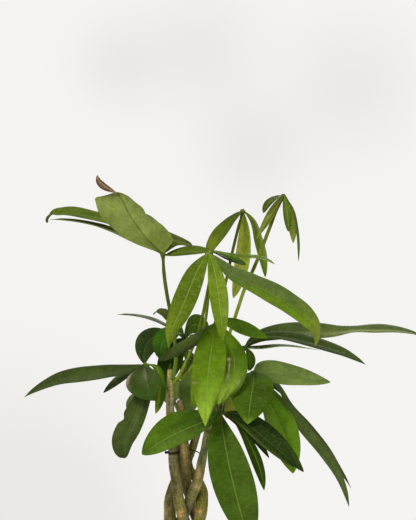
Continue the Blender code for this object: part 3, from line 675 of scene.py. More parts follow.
# %% The low leaves in front
LEAVES.append(Leaf(
    "leaf_low_right", hub=(73.5, 475, -22), colour=MATURE,
    stalk=((35, 441, -1), (43, 445, -5), (52, 453, -12), (64, 465, -19)),
    leaflets=(
        Leaflet(((90, 475.2, -27), (120, 470.7, -33), (140, 467.3, -37), (158.5, 464.6, -40)), 32.5,
            (0, 0.72, -0.7), ((0.27, 0.78), (0.36, 0.75))),
        Leaflet(((74, 468, -38), (71, 448, -56), (67, 418, -64)), 46, (0, 0.5, -1), (0.95, 1.0)),
        Leaflet(((88, 447, -14), (106, 410, -10), (117, 364, -6)), 34, (0.2, 0.3, -1),
            ((0.95, 0.75), (1.6, 0.95))),
        Leaflet(((102, 443.4, -6), (134, 407, 6), (161.6, 371.2, 11), (178.8, 327.6, 12)), 21.8,
            (0.62, 0.55, -0.58)),
        Leaflet(((98.6, 460.4, 8), (114.4, 435.4, 30), (149.6, 394.9, 40), (181.2, 348, 42)), 22.8,
            (0.7, 0.6, -0.35), (1.1, 0.92)),
        Leaflet(((92, 464, 12), (103, 454.5, 15), (110.8, 445, 14)), 13, (0.5, 0.6, -0.5)),
        Leaflet(((78.5, 456, 8), (80, 438, 14)), 13, (0, 0.3, -1)),
    ),
))
LEAVES.append(Leaf(
    "leaf_low_front", hub=(38, 431, -42), colour=MATURE,
    stalk=((33, 433, -3), (36, 434, -16), (38, 433, -30)),
    leaflets=(
        Leaflet(((40, 411, -58), (43.8, 389, -72), (48.6, 365, -82), (55.2, 338, -88),
            (62, 312, -90), (69, 282, -90)), 43.8, (0, 0.3, -1), ((1.15, 0.86), (0.88, 0.98))),
        Leaflet(((60.5, 422.5, -54), (84, 404, -66), (104, 387.5, -74), (121, 371, -78)), 21,
            (0.25, 0.6, -0.8), ((0.95, 0.75), (0.95, 0.64))),
        Leaflet(((66, 425, -40), (90.5, 407.5, -42), (112, 385, -42), (129, 365.8, -42)), 20,
            (0.3, 0.55, -0.8)),
        Leaflet(((52, 423.5, -38), (63, 409, -42), (70.5, 394.5, -46), (77.6, 378, -48),
            (82.8, 361, -49), (85.4, 345.5, -49)), 12.6, (0.3, 0.3, -1), (1.5, 0.85),
            uneven=0.1),
        Leaflet(((18.5, 421, -54), (-3, 412, -64), (-23, 402, -72), (-39, 392, -76),
            (-49, 385, -78)), 37.5, (-0.25, 0.5, -0.9), ((0.9, 0.7), (0.9, 0.82)), uneven=0.2),
        Leaflet(((66, 412, -24), (91, 381, -18)), 12, (0.3, 0.6, -0.7)),
    ),
))
print("leaves planned so far:", len(LEAVES))

# %% [markdown]
# These lie behind the left stem and reach out level to the left.

# %% The leaves on the left
LEAVES.append(Leaf(
    "leaf_left", hub=(-46, 484, -18), colour=MATURE,
    stalk=((-17, 452, -3), (-24, 457, -8), (-30, 468, -12), (-38, 479, -16)),
    leaflets=(
        Leaflet(((-68, 478.2, -22), (-92, 474.6, -26), (-117, 471.2, -30), (-142, 466, -33),
            (-159, 459, -34), (-178.5, 448, -34)), 28.5, (0, 0.87, -0.5),
            ((0.72, 1.1), (0.85, 0.9))),
        Leaflet(((-70, 470, -4), (-91.5, 453, 4)), 15.5, (-0.2, 0.75, -0.65)),
        Leaflet(((-46.8, 498, -6), (-42, 509, 5), (-33.4, 516.4, 14), (-22, 520.8, 20.6)), 26,
            (0, 0.3, -1)),
        Leaflet(((-45.5, 474, -36), (-43, 462, -48), (-39, 452, -54), (-34, 444, -56)), 38,
            (-0.2, 0.5, -1), ((1.8, 1.15), (1.4, 1.15)), uneven=0.16),
        Leaflet(((-45.5, 460, -28), (-53.6, 437, -36), (-62, 416, -39), (-69, 399, -40),
            (-67.5, 381, -38)), 26.5, (-0.15, 0.25, -1), ((0.95, 0.6), (1.3, 0.45)),
            uneven=0.03, dents=((1, 0.62, 0.27, 0.04),)),
        Leaflet(((-34, 481, -22), (-29, 462, -27), (-34, 430, -29)), 12, (0.3, 0.2, -1)),
    ),
))
LEAVES.append(Leaf(
    "leaf_back_left", hub=(-2, 512, 32), colour=MATURE,
    stalk=((1.5, 476, 37), (0, 490, 33), (-2, 502, 32)),
    leaflets=(
        Leaflet(((-30, 529.9, 34), (-55, 537.3, 32), (-76, 538.9, 28)), 22, (0, 1, -0.1), SLENDER),
        Leaflet(((-17.5, 534.6, 40), (-25.4, 541.4, 44), (-32.6, 542.6, 47), (-36.4, 538.4, 48)),
            12, (-0.2, 0.8, -0.6)),
        Leaflet(((-17, 519, 10), (-27, 507, -4), (-27, 489, -10)), 23, (-0.3, 0.4, -1)),
        Leaflet(((2, 521, 27), (7, 527.5, 23), (15, 526.5, 17), (23.5, 521.5, 12)), 25,
            (0, 0.5, -0.9), (0.7, 0.7)),
        Leaflet(((-11, 503, 20), (-19, 484, 16), (-22, 462, 14)), 27, (0, 0.4, -1)),
    ),
))
print("leaves planned so far:", len(LEAVES))

# %% [markdown]
# Nothing of these shows from the front but dark scraps between other leaves. They close the crown
# for someone who walks round it.

# %% The leaves at the back
LEAVES.append(Leaf(
    "leaf_inner", hub=(14, 482, 44), colour=MATURE,
    stalk=((-3, 448, 33), (4, 455, 42), (9, 468, 45)),
    leaflets=(
        Leaflet(((8, 468, 26), (2.5, 430, 17)), 28, (0, 0.3, -1)),
        Leaflet(((-4, 496, 62), (-24, 502, 84)), 24, (0, 1, 0)),
        Leaflet(((12, 486, 84), (2, 462, 126)), 36, (0, 1, 0.3)),
        Leaflet(((30, 480, 80), (38, 466, 120)), 32, (0.2, 1, 0.2)),
    ),
))
LEAVES.append(Leaf(
    "leaf_back_high", hub=(34, 506, 74), colour=MATURE,
    stalk=((27, 468, 36), (31, 482, 46), (34, 496, 62)),
    leaflets=(
        Leaflet(((8, 512, 110), (-22, 500, 152)), 38, (-0.2, 1, 0.2)),
        Leaflet(((24, 514, 132), (14, 503, 192)), 40, (0, 1, 0.1)),
        Leaflet(((33, 512, 130), (34, 500, 188)), 26, (0.1, 1, 0.1)),
        Leaflet(((46, 495, 108), (53, 477, 146)), 26, (0.3, 1, 0.1)),
    ),
))
LEAVES.append(Leaf(
    "leaf_back_right", hub=(50, 456, 62), colour=MATURE,
    stalk=((18, 432, 26), (28, 438, 40), (42, 448, 54)),
    leaflets=(
        Leaflet(((70, 462, 96), (86, 448, 136)), 34, (0.3, 1, 0)),
        Leaflet(((54, 456, 112), (60, 432, 158)), 36, (0, 1, 0.3)),
        Leaflet(((36, 452, 100), (24, 430, 140)), 34, (-0.2, 1, 0.3)),
        Leaflet(((78, 456, 64), (98, 441, 76)), 26, (0.4, 0.9, 0)),
        Leaflet(((49, 443, 56), (44, 425, 48)), 18, (0, 0.3, 1)),
    ),
))
LEAVES.append(Leaf(
    "leaf_back_low", hub=(-22, 462, 52), colour=MATURE,
    stalk=((-5, 425, 25), (-10, 436, 34), (-17, 450, 44)),
    leaflets=(
        Leaflet(((-42, 458, 72), (-62, 432, 98)), 34, (-0.3, 0.9, 0)),
        Leaflet(((-34, 466, 96), (-46, 448, 142)), 36, (-0.2, 1, 0.2)),
        Leaflet(((-16, 462, 98), (-20, 440, 142)), 36, (0, 1, 0.3)),
        Leaflet(((-40, 470, 46), (-62, 464, 40)), 22, (-0.2, 1, 0)),
    ),
))
print("leaves planned:", len(LEAVES), "leaflets:", sum(len(leaf.leaflets) for leaf in LEAVES))

# %% [markdown]
# ## The blade
# A leaflet's blade is one thin sheet folded along its midrib. Across it, a point's reach is the half
# width times s, from -1 at the left margin to 1 at the right, and the fold lifts it by a share of
# that reach. The same outline, fold and twist as in the solids are used here, on a much finer grid,
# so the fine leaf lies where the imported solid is.

# %% Outline and frame of a blade
# The last share of the length, which runs to a sharp tip. After STRIP_SHRINK of the blade the strip
# along the midrib still has that share of its first width.
TAPER_SHARE = 0.1
STRIP_SHRINK = 0.9
# Columns across half a blade: their usual width, the fewest and the most, how they crowd at the
# midrib, and the place of the last one before the margin.
COLUMN_WIDTH = 2.6
COLUMN_LIMITS = (5, 11)
COLUMN_CROWD = 1.35
LAST_COLUMN = 0.965


def outline_half(t, leaflet):
    """Half widths of the left and right side at t: x^rise * (1 - x)^fall scaled to peak at 1, times
    1 - depth * exp(-((x - place) / length)^2) for each dent, and never less than the stalk's end."""
    rise, fall = np.reshape(leaflet.outline, (-1, 2)).T
    peak = rise / (rise + fall)
    along = np.clip(t / leaflet.tail, 0, 1)[:, None]
    shape = (along / peak) ** rise * ((1 - along) / (1 - peak)) ** fall
    half = shape * (1 - leaflet.uneven, 1 + leaflet.uneven) * leaflet.width / 2
    for side, at, depth, length in leaflet.dents:
        half[:, side] *= 1 - depth * np.exp(-(((along[:, 0] - at) / length) ** 2))
    return np.maximum(half, strip_half(t, leaflet.tail)[:, None])


def strip_half(t, tail):
    """Half width of the strip along the midrib: it narrows to the tip, and a dried tail swells by a
    sine between the blade's end and its own."""
    tip = TIP_HALF if tail < 1 else SHARP_TIP_HALF
    halves = (STALK_END_HALF, STRIP_SHRINK * STALK_END_HALF, tip)
    strip = np.interp(t, (0.0, STRIP_SHRINK * tail, 1.0), halves)
    if tail < 1:
        return strip + TAIL_HALF * np.sin(np.pi * np.clip((t - tail) / (1 - tail), 0, 1))
    taper = STALK_END_HALF * (1 - t) / TAPER_SHARE + tip
    return np.where(t > 1 - TAPER_SHARE, np.minimum(strip, taper), strip)


def blade_frame(leaflet, hub, count):
    """The midrib's points with its forward, sideways and upward directions. Sideways is square to
    the midrib and to the way the blade faces, then turned along the length by the twist."""
    rib = smooth(place([hub, *leaflet.midrib]), count)
    along = unit(np.gradient(rib, axis=0))
    right, up, away = leaflet.faces
    across = unit(np.cross(along[count // 2], (right, away, up)))
    side = unit(across - (along @ across)[:, None] * along)
    turn = np.radians(leaflet.twist) * (np.linspace(0, 1, count) - 0.5)[:, None]
    side = side * np.cos(turn) + np.cross(side, along) * np.sin(turn)
    return rib, along, side, np.cross(side, along)


def columns(width):
    """Places across the blade from -1 to 1, close together at the midrib and at the margins."""
    half = int(np.clip(round(width / COLUMN_WIDTH), *COLUMN_LIMITS))
    s = np.linspace(0, 1, half + 1) ** COLUMN_CROWD
    s = np.append(s[:-1], (LAST_COLUMN, 1.0))
    return np.concatenate((-s[:0:-1], s))


print("points across a blade 30 mm wide:", len(columns(30)))

# %% [markdown]
# ## Relief between the veins
# The side veins leave the midrib in pairs and bend towards the tip. With `a` millimetres along the
# midrib and a reach of `r`, the number a - r * (lean + bend * edge), divided by the pitch of the
# veins, is whole on a vein. Half way between two veins the tissue swells, most on young leaves.
# Along the margin the blade waves a little. The midrib is a groove above and a round ridge below.

# %% Relief of a blade
VEIN_LEAN = 0.50
VEIN_BEND = 0.38
# The pitch of the side veins as a share of the width, and its limits in millimetres.
PITCH_SHARE = 0.21
PITCH_LIMITS = (3.0, 8.0)
# Height of each half's arch and of the margin's waves, as shares of the width.
ARCH = 0.030
MARGIN_WAVE = 0.016


def vein_pitch(width):
    """Side veins are wider apart on a wide leaflet."""
    return np.clip(width * PITCH_SHARE, *PITCH_LIMITS)


def vein_run(along, reach, seed):
    """The run along the midrib, bent a little so that no two side veins are quite parallel."""
    slow = 0.9 * ripple(along / 14, np.sign(reach) * 2.0, seed)
    return along + slow + 0.5 * ripple(along / 6, reach / 8, seed + 5)


def blade_relief(along, reach, edge, leaflet, finish, seed):
    """Height above the folded sheet: swelling between veins + arch of each half + wave of margin."""
    pitch = vein_pitch(leaflet.width)
    number = (along - np.abs(reach) * (VEIN_LEAN + VEIN_BEND * edge)) / pitch + 0.5 * (reach > 0)
    swell = np.abs(np.sin(np.pi * number)) ** 0.7
    swell = swell * smoothstep(edge, 0.02, 0.2) * smoothstep(-edge, -1, -0.7)
    arch = ARCH * leaflet.width * (1 - (2 * edge - 1) ** 2)
    wave = edge**2 * ripple(along / 9, np.sign(reach) * 3, seed, 4) * leaflet.width * MARGIN_WAVE
    return finish.quilt * swell + arch + wave


print("side veins on a blade 30 mm wide are", round(float(vein_pitch(30)), 1), "mm apart")

# %% [markdown]
# ## Finishes
# The leaves differ by age and by the side they show. Young ones are bright yellow-green, soft and
# quilted, old ones deep green and smoother, and the undersides are pale and matt with veins that
# stand out. A finish holds both colours, how pale the midrib and the veins are above and below, the
# height of the quilting in millimetres and the gloss of the upper side.

# %% Name the finishes
Finish = namedtuple("Finish", "upper under rib vein rib_under vein_under quilt gloss")
FINISHES = {
    "bright": Finish((0.150, 0.270, 0.006), (0.30, 0.38, 0.05), 0.30, 0.05, 0.2, 0.1, 0.16, 0.55),
    "young": Finish((0.110, 0.170, 0.004), (0.28, 0.34, 0.04), 0.45, 0.10, 0.2, 0.1, 0.30, 0.62),
    "fresh": Finish((0.110, 0.183, 0.006), (0.24, 0.30, 0.05), 0.20, 0.05, 0.2, 0.1, 0.10, 0.55),
    "vivid": Finish((0.032, 0.100, 0.003), (0.14, 0.22, 0.04), 0.15, 0.04, 0.2, 0.1, 0.10, 0.50),
    "mid": Finish((0.062, 0.128, 0.005), (0.16, 0.22, 0.05), 0.25, 0.05, 0.2, 0.1, 0.10, 0.50),
    "deep": Finish((0.030, 0.064, 0.003), (0.12, 0.17, 0.05), 0.30, 0.04, 0.2, 0.1, 0.09, 0.50),
    "dark": Finish((0.021, 0.044, 0.006), (0.10, 0.14, 0.05), 0.09, 0.04, 0.2, 0.1, 0.07, 0.50),
    # grey: its greyish upper colour is painted sheen, the pale room mirrored by the leaf.
    "grey": Finish((0.080, 0.115, 0.025), (0.13, 0.17, 0.06), 0.10, 0.03, 0.2, 0.1, 0.07, 0.45),
    "pale": Finish((0.060, 0.120, 0.010), (0.340, 0.410, 0.090), 0.3, 0.1, -0.40, -0.15, 0.08, 0.40),
    "matt": Finish((0.100, 0.150, 0.010), (0.24, 0.30, 0.05), 0.20, 0.05, 0.2, 0.1, 0.10, 0.10),
    # lemon: its bright yellow underside is painted light that shines through the leaf from behind.
    "lemon": Finish((0.110, 0.180, 0.010), (0.300, 0.340, 0.040), 0.3, 0.1, 0.30, 0.10, 0.08, 0.45),
}
# Each leaf's leaflets in order: a finish, and what its colours are multiplied by. The factors hold
# each leaflet's own tone and also painted light: some leaflets that lie in shade are made lighter,
# and leaflet 2 of leaf_top_centre is made bright as if lit through from behind.
LOOKS = {
    "leaf_upper_left": "pale:0.98 matt:0.78 matt:1.1 matt:0.65 mid:1",
    "leaf_centre_front": "young:0.76 young:1.18 fresh:0.96",
    "leaf_centre_level": "matt:0.75 fresh:0.9 mid:1",
    "leaf_top_centre": "fresh:0.42 lemon:2.1 fresh:1.2 mid:1",
    "leaf_top_right": "lemon:0.39 lemon:0.66 lemon:0.6 lemon:0.6 lemon:0.9",
    "leaf_right_upper": "grey:0.9 grey:0.85 grey:2.4 mid:1.1 mid:1",
    "leaf_bright_front": "bright:0.72 mid:1.1 mid:1.7 grey:0.65 fresh:1.4",
    "leaf_low_right": "grey:1.75 mid:0.78 mid:1.8 grey:0.95 grey:0.7 mid:1 mid:0.8",
    "leaf_low_front": "deep:1.3 dark:0.75 dark:0.8 deep:0.9 mid:1 dark:1",
    "leaf_left": "grey:0.58 grey:0.8 dark:1 grey:0.62 grey:0.66 mid:1.1",
    "leaf_back_left": "grey:0.75 grey:0.75 vivid:1 mid:0.6 deep:1",
    "leaf_inner": "grey:2 deep:1 deep:1 deep:1",
    "leaf_back_high": "mid:1 deep:1 mid:1 deep:1",
    "leaf_back_right": "deep:1 mid:1 deep:1 mid:1 lemon:1.25",
    "leaf_back_low": "mid:1 deep:1 mid:1 deep:1",
}
print("finishes:", ", ".join(FINISHES))

# %% [markdown]
# ## Marks
# A real leaf is never one green. A mark is a soft spot on one leaflet: where it lies along (0 to 1)
# and across (-1 to 1), how long and wide it is on the same scales, its colour and its strength. The
# tint there is mixed towards the mark's colour by strength * exp(-(da^2 + ds^2)). Some marks are the
# leaflet's own colour, and others are painted light: painted shade, painted highlights, painted sheen
# and light shining through a leaflet from behind.

# %% Marks on single leaflets
BROWN = (0.12, 0.055, 0.02)
TAN = (0.50, 0.34, 0.17)
STRAW = (0.55, 0.50, 0.30)
# The grey-green of painted sheen, the pale room mirrored on a leaf half that faces up.
PAINTED_SHEEN = (0.105, 0.140, 0.045)
DARK = (0.025, 0.045, 0.008)
# For each leaf and each leaflet, counted from 1: (along, across, length, width, colour, strength).
MARKS = {
    "leaf_upper_left": {
        1: ((0.0, 0, 0.28, 2, (0.19, 0.25, 0.04), 0.8), (0.74, 0, 0.03, 0.9, BROWN, 0.6)),
        2: ((0.42, 0, 0.12, 2, (0.15, 0.22, 0.008), 0.9), (0.46, 0.2, 0.02, 0.3, BROWN, 0.9),
            (0.75, 0, 0.25, 2, (0.085, 0.12, 0.015), 0.6)),
        3: ((0.35, -0.6, 0.12, 0.4, STRAW, 0.7), (0.7, 0, 0.3, 2, (0.09, 0.125, 0.02), 0.6)),
        4: ((0.7, 0, 0.15, 2, (0.1, 0.09, 0.02), 0.6),),
    },
    "leaf_centre_front": {
        1: ((0.8, 0.4, 0.22, 0.9, (0.24, 0.32, 0.02), 0.6),
            (0.5, 0.1, 0.15, 0.6, (0.08, 0.13, 0.004), 0.6)),
        2: ((0.5, -0.7, 0.45, 0.6, (0.24, 0.32, 0.03), 0.6),
            (0.12, 0, 0.15, 2, (0.075, 0.12, 0.003), 0.6)),
        # On leaflet 3 the grey-green mark on its inner half is painted sheen, the pale room mirrored
        # there.
        3: ((0.18, 0, 0.24, 2, (0.09, 0.12, 0.035), 0.85), (0.5, -0.55, 0.45, 0.5, PAINTED_SHEEN, 0.7),
            (0.6, 0.5, 0.35, 0.4, (0.12, 0.225, 0.004), 0.7),
            (0.95, 0, 0.13, 2, (0.27, 0.34, 0.03), 0.85)),
    },
    "leaf_top_centre": {
        1: ((0.8, 0, 0.35, 2, (0.17, 0.21, 0.012), 0.8),),
        # Leaflet 2 is lit through from behind: its two bright yellow marks are painted light.
        2: ((0.4, -0.6, 0.4, 0.4, (0.98, 0.99, 0.14), 0.9),
            (0.5, 0.5, 0.6, 0.4, (0.5, 0.58, 0.04), 0.7), (0.95, 0, 0.2, 2, (0.34, 0.36, 0.05), 0.85),
            (0.72, 0.3, 0.03, 0.5, TAN, 0.7), (0.66, -0.5, 0.02, 0.4, TAN, 0.6)),
        3: ((0.35, -0.8, 0.3, 0.45, (0.46, 0.46, 0.15), 0.85),),
    },
    "leaf_right_upper": {
        1: ((0.85, 0, 0.3, 2, (0.05, 0.07, 0.015), 0.8),),
        2: ((0.62, 0.6, 0.25, 0.6, (0.26, 0.29, 0.08), 0.7),),
    },
    "leaf_bright_front": {
        1: ((0.96, 0, 0.22, 2, (0.36, 0.54, 0.05), 0.85), (0.2, 0, 0.3, 2, (0.085, 0.16, 0.004), 0.6),
            (0.63, 0.95, 0.012, 0.16, BROWN, 0.95), (0.65, 0.85, 0.008, 0.2, TAN, 0.6),
            (0.87, -1, 0.12, 0.28, (0.03, 0.042, 0.008), 0.9),
            (0.7, 0.8, 0.12, 0.3, (0.08, 0.14, 0.004), 0.6)),
        # On leaflet 2 the bright tip mark is its yellow-green tip lightened further by painted light
        # against the shade on it, and the dark mark at 0.82 along is painted shade along one margin.
        2: ((0.98, 0.2, 0.25, 2, (0.5, 0.72, 0.07), 0.85), (0.25, 0, 0.12, 2, (0.19, 0.34, 0.008), 0.7),
            (0.44, 0.5, 0.02, 0.1, BROWN, 0.9), (0.49, 0.48, 0.02, 0.12, (0.85, 0.62, 0.32), 1),
            (0.53, 0.4, 0.03, 0.06, BROWN, 1), (0.58, 0.46, 0.05, 0.06, (0.75, 0.62, 0.26), 1),
            (0.62, 0.6, 0.05, 0.1, BROWN, 0.9), (0.7, 0.42, 0.04, 0.06, STRAW, 0.8),
            (0.82, -0.8, 0.15, 0.33, (0.045, 0.08, 0.012), 0.92),
            (0.7, -0.62, 0.04, 0.08, STRAW, 0.25)),
        4: ((0.95, 0, 0.3, 2, (0.022, 0.034, 0.005), 0.9),
            (0.3, 0, 0.35, 2, (0.105, 0.145, 0.03), 0.8)),
    },
    "leaf_low_right": {
        1: ((0.1, 0, 0.15, 2, (0.09, 0.13, 0.03), 0.5),),
        2: ((1.0, 0, 0.09, 2, (0.24, 0.38, 0.03), 0.9),
            (0.48, -0.35, 0.28, 0.4, (0.032, 0.06, 0.006), 0.7)),
        3: ((0.55, 0.8, 0.3, 0.3, (0.16, 0.2, 0.05), 0.6), (0.38, -0.95, 0.15, 0.3, DARK, 0.8)),
        4: ((0.9, 0, 0.3, 2, (0.1, 0.13, 0.035), 0.7),),
        5: ((0.1, -0.6, 0.15, 0.5, (0.16, 0.2, 0.05), 0.6),),
    },
    "leaf_low_front": {
        # The pale marks at 0.02 along leaflets 1 to 3 are painted light that lifts the shade at the hub,
        # and the DARK mark at 0.35 along leaflet 3 is a painted shadow cast by leaf_low_right.
        1: ((0.9, 0, 0.4, 2, (0.07, 0.125, 0.012), 0.7),
            (0.5, -0.6, 0.45, 0.5, (0.07, 0.12, 0.012), 0.5),
            (0.02, 0, 0.05, 2, (0.16, 0.2, 0.03), 0.7)),
        2: ((0.5, 0.9, 0.5, 0.15, (0.14, 0.16, 0.03), 0.35),
            (0.3, 1, 0.3, 0.3, (0.06, 0.1, 0.012), 0.7), (0.02, 0, 0.08, 2, (0.16, 0.2, 0.03), 0.8)),
        3: ((0.02, 0, 0.12, 2, (0.16, 0.2, 0.03), 0.8), (0.35, -0.6, 0.2, 0.4, DARK, 0.6),
            (0.9, 0, 0.2, 2, (0.045, 0.075, 0.015), 0.7)),
        4: ((0.15, 0, 0.2, 2, (0.08, 0.12, 0.015), 0.7),),
        5: ((0.7, -0.6, 0.4, 0.6, (0.095, 0.165, 0.02), 0.6),
            (0.2, 0, 0.2, 2, (0.025, 0.055, 0.005), 0.7),
            (0.5, 0.3, 0.25, 0.12, (0.03, 0.06, 0.006), 0.5), (0.42, -0.3, 0.02, 0.1, BROWN, 0.8)),
    },
    "leaf_left": {
        1: ((0.35, 0.7, 0.3, 0.3, (0.035, 0.06, 0.012), 0.6),
            (0.75, -0.6, 0.3, 0.5, (0.065, 0.092, 0.03), 0.7)),
        2: ((0.4, 0.7, 0.3, 0.3, (0.3, 0.27, 0.15), 0.5),),
        3: ((0.5, 0, 1.2, 2, (0.028, 0.047, 0.012), 0.8),),
        4: ((0.5, 0.8, 0.4, 0.3, DARK, 0.5), (0.85, 0, 0.25, 2, (0.03, 0.07, 0.008), 0.85),
            (0.42, 0.97, 0.12, 0.12, (0.6, 0.47, 0.34), 0.9),
            (0.35, 0, 0.2, 0.14, (0.22, 0.2, 0.14), 0.6)),
        5: ((0.6, -0.3, 0.5, 0.12, (0.08, 0.12, 0.04), 0.6), (0.3, 0.6, 0.2, 0.6, DARK, 0.4)),
        6: ((0.78, 0.3, 0.25, 0.5, (0.24, 0.34, 0.015), 0.8),
            (0.65, 0.15, 0.35, 0.16, (0.3, 0.36, 0.02), 0.8),
            (0.97, 0, 0.06, 2, (0.5, 0.5, 0.06), 0.9)),
    },
    "leaf_back_left": {
        3: ((0.98, 0, 0.2, 2, (0.014, 0.04, 0.004), 0.85),),
    },
}
# How dark the dried strip is, and half the length over which green turns to tan.
HUSK = 0.7
DRY_EDGE = 0.012
# What is known at each place of a blade: t from 0 at the hub to 1 at the tip, s from -1 to 1 across,
# edge = |s|, its reach and run in millimetres, the half widths and the middle of the sheet.
Sheet = namedtuple("Sheet", "t s edge reach run half middle")


def mixed(tint, colour, share):
    """The tint mixed towards a colour by a share."""
    return tint + (np.asarray(colour) - tint) * share[..., None]


def marked(tint, x, y, marks, facing=1.0):
    """The tint mixed towards each mark by strength * exp(-(dx^2 + dy^2)), with both distances from
    the mark counted in its own two sizes."""
    for at_x, at_y, size_x, size_y, colour, strength in marks:
        near = np.exp(-(((x - at_x) / size_x) ** 2) - ((y - at_y) / size_y) ** 2)
        tint = mixed(tint, colour, strength * facing * near)
    return tint


def blade_tint(base, sheet, marks, tail, seed):
    """The finish's colour, a little uneven, mixed towards each mark. Past the tail it is dried tan
    with dark edges."""
    uneven = 1 + 0.10 * ripple(sheet.t * 9, sheet.s * 3, seed) + 0.05 * (1 - sheet.edge)
    tint = marked(np.asarray(base) * uneven[..., None], sheet.t, sheet.s, marks)
    if tail < 1:
        rim = (np.asarray(BROWN) - TAN) * HUSK * (sheet.edge[..., None] ** 2)
        dry = smoothstep(sheet.t, tail - DRY_EDGE, tail + DRY_EDGE)
        tint = mixed(tint, HUSK * np.asarray(TAN) + rim, dry)
    return tint


print("marks:", sum(len(marks) for leaf in MARKS.values() for marks in leaf.values()))

# %% [markdown]
# ## One closed shell per leaflet
# The sheet becomes a solid blade by walking round it: over the upper side from left to right, then
# back along the under side. That ring of points, carried from the hub to the tip, is again a closed
# tube, only a very flat one. Near the hub it is as thick as it is wide, which makes the short round
# stalk of the leaflet.

# %% Upper and under side as one ring
# The blade's thickness, and the length of a row of points with the fewest and the most rows.
SHEET = 0.42
ROW_STEP = 1.5
ROW_LIMITS = (24, 140)
LENGTH_STEPS = 60
# The crease is rounded by a share of the half width, up to this half width.
CREASE = 0.35
CREASE_HALF = 3.0
# Half widths between which the veins and waves begin, and between which the round stalk ends.
OPENING = (1.2, 4.0)
STALK_HALVES = (1.1, 2.4)
STALK_BULGE = 1.15
# The midrib's groove in millimetres, its ridge as a share of its girth, and the girth, which falls
# from the hub to the tip.
GROOVE = 0.22
RIDGE = 0.7
TIP_GIRTH, HUB_GIRTH, GIRTH_FALL = 0.35, 0.9, 1.5
MARGIN_THINNING = 0.6
# How fast the midrib's relief and the veins' colour end before the tip.
RELIEF_FADE, VEIN_FADE = 8, 6
UNDER_GLOSS = 0.5


def sheet_normals(points):
    """Cross product of the steps along and across, at each point of the grid."""
    return unit(np.cross(np.gradient(points, axis=1), np.gradient(points, axis=0)))


def blade_sheet(leaflet, hub, finish, seed):
    """The sheet's middle: midrib + sideways * reach + upward * (fold * rounded reach + relief), and
    forward by sweep * t * reach."""
    length = run_length(smooth(place([hub, *leaflet.midrib]), LENGTH_STEPS))[-1]
    rows = int(np.clip(length / ROW_STEP, *ROW_LIMITS))
    t = np.linspace(0, 1, rows)
    rib, forward, side, over = blade_frame(leaflet, hub, rows)
    half = outline_half(t, leaflet)
    t, s = np.broadcast_arrays(t[:, None], columns(leaflet.width)[None, :])
    reach = np.where(s < 0, half[:, :1], half[:, 1:]) * s
    edge = np.abs(s)
    run = vein_run(t * length, reach, seed)
    crease = CREASE * np.minimum(half.min(axis=1), CREASE_HALF)[:, None]
    rounded = np.sqrt(reach**2 + crease**2) - crease
    veined = smoothstep(half.mean(axis=1), *OPENING)[:, None]
    lift = FOLD * rounded + veined * blade_relief(run, reach, edge, leaflet, finish, seed)
    ahead = leaflet.sweep * t * np.abs(reach)
    middle = rib[:, None] + side[:, None] * reach[..., None]
    middle = middle + over[:, None] * lift[..., None] + forward[:, None] * ahead[..., None]
    return Sheet(t, s, edge, reach, run, half, middle)


def blade_sides(sheet):
    """The upper and the under side: the middle plus and minus half a sheet along its normal. Near the
    hub both bulge to a round stalk. Over the midrib runs a groove, and under it a ridge."""
    t = sheet.t
    normal = sheet_normals(sheet.middle)
    stalk = (1 - smoothstep(sheet.half.mean(axis=1), *STALK_HALVES))[:, None] * (t < 0.5)
    bulge = np.sqrt(np.clip(1 - sheet.s**2, 0, 1)) * STALK_BULGE * stalk
    girth = TIP_GIRTH + HUB_GIRTH * (1 - t) ** GIRTH_FALL
    rib = np.exp(-((sheet.reach / girth) ** 2))
    fade = np.clip((1 - t) * RELIEF_FADE, 0, 1) * (1 - stalk)
    wall = SHEET / 2 * (1 - MARGIN_THINNING * sheet.edge**4) + bulge
    top = sheet.middle + normal * (wall - GROOVE * rib * fade)[..., None]
    low = sheet.middle - normal * (wall + RIDGE * girth * rib * fade)[..., None]
    return top, low


def both_sides(upper, under):
    """Two sides as one walk round: upper left to right, then under right to left."""
    return np.concatenate([upper, under[:, ::-1]], axis=1).reshape(-1, *upper.shape[2:])


def blade_surface(leaflet, hub, finish, marks, seed):
    """The leaflet's closed shell with all its measurements."""
    sheet = blade_sheet(leaflet, hub, finish, seed)
    points = both_sides(*blade_sides(sheet))
    rows, cols = sheet.s.shape
    upper, under = (blade_tint(colour, sheet, marks, leaflet.tail, seed) for colour in finish[:2])
    live = (sheet.t < leaflet.tail) * np.clip((1 - sheet.t) * VEIN_FADE, 0, 1)
    gloss = np.full(sheet.s.shape, finish.gloss)
    blade = np.stack([sheet.reach, sheet.run], axis=-1)
    return Surface(
        points, skin_faces(rows, 2 * cols), both_sides(upper, under), both_sides(blade, blade),
        both_sides(sheet.edge, sheet.edge), both_sides(finish.rib * live, finish.rib_under * live),
        both_sides(finish.vein * live, finish.vein_under * live), both_sides(gloss, UNDER_GLOSS * gloss),
        np.full(len(points), vein_pitch(leaflet.width)),
    )


print("blades are", SHEET, "mm thick between their veins")

# %% [markdown]
# ## Pattern of veins and skin
# The relief is fine enough to catch light, but the thin pale lines of the veins and the grain of the
# skin are drawn by the material. The same rule of whole numbers that raised the tissue finds the
# veins: Ping-Pong gives the distance to the nearest whole number. One node group does this for every
# leaf material. It puts out only a colour, a height and a wear, which is added to the roughness, and
# each material keeps its shader.

# %% Node group: leaf pattern
# In millimetres from the middle of a vein: up to where it is fully drawn, and where it ends.
VEIN_LINE, RIB_LINE = (0.15, 0.75), (0.35, 0.95)
# The side veins fade out between these places on the way to the margin.
VEIN_END = (0.75, 0.97)
# The net of fine veins: its cells to the millimetre, and between which distances a line ends.
NET_SCALE, NET_LINE = 0.62, (0.0, 0.16)
# The noises of the skin, from large clouds to the finest grain, in waves to the metre.
MOTTLE_SCALE, BLOTCH_SCALE, SKIN_SCALE = 60.0, 210.0, 900.0
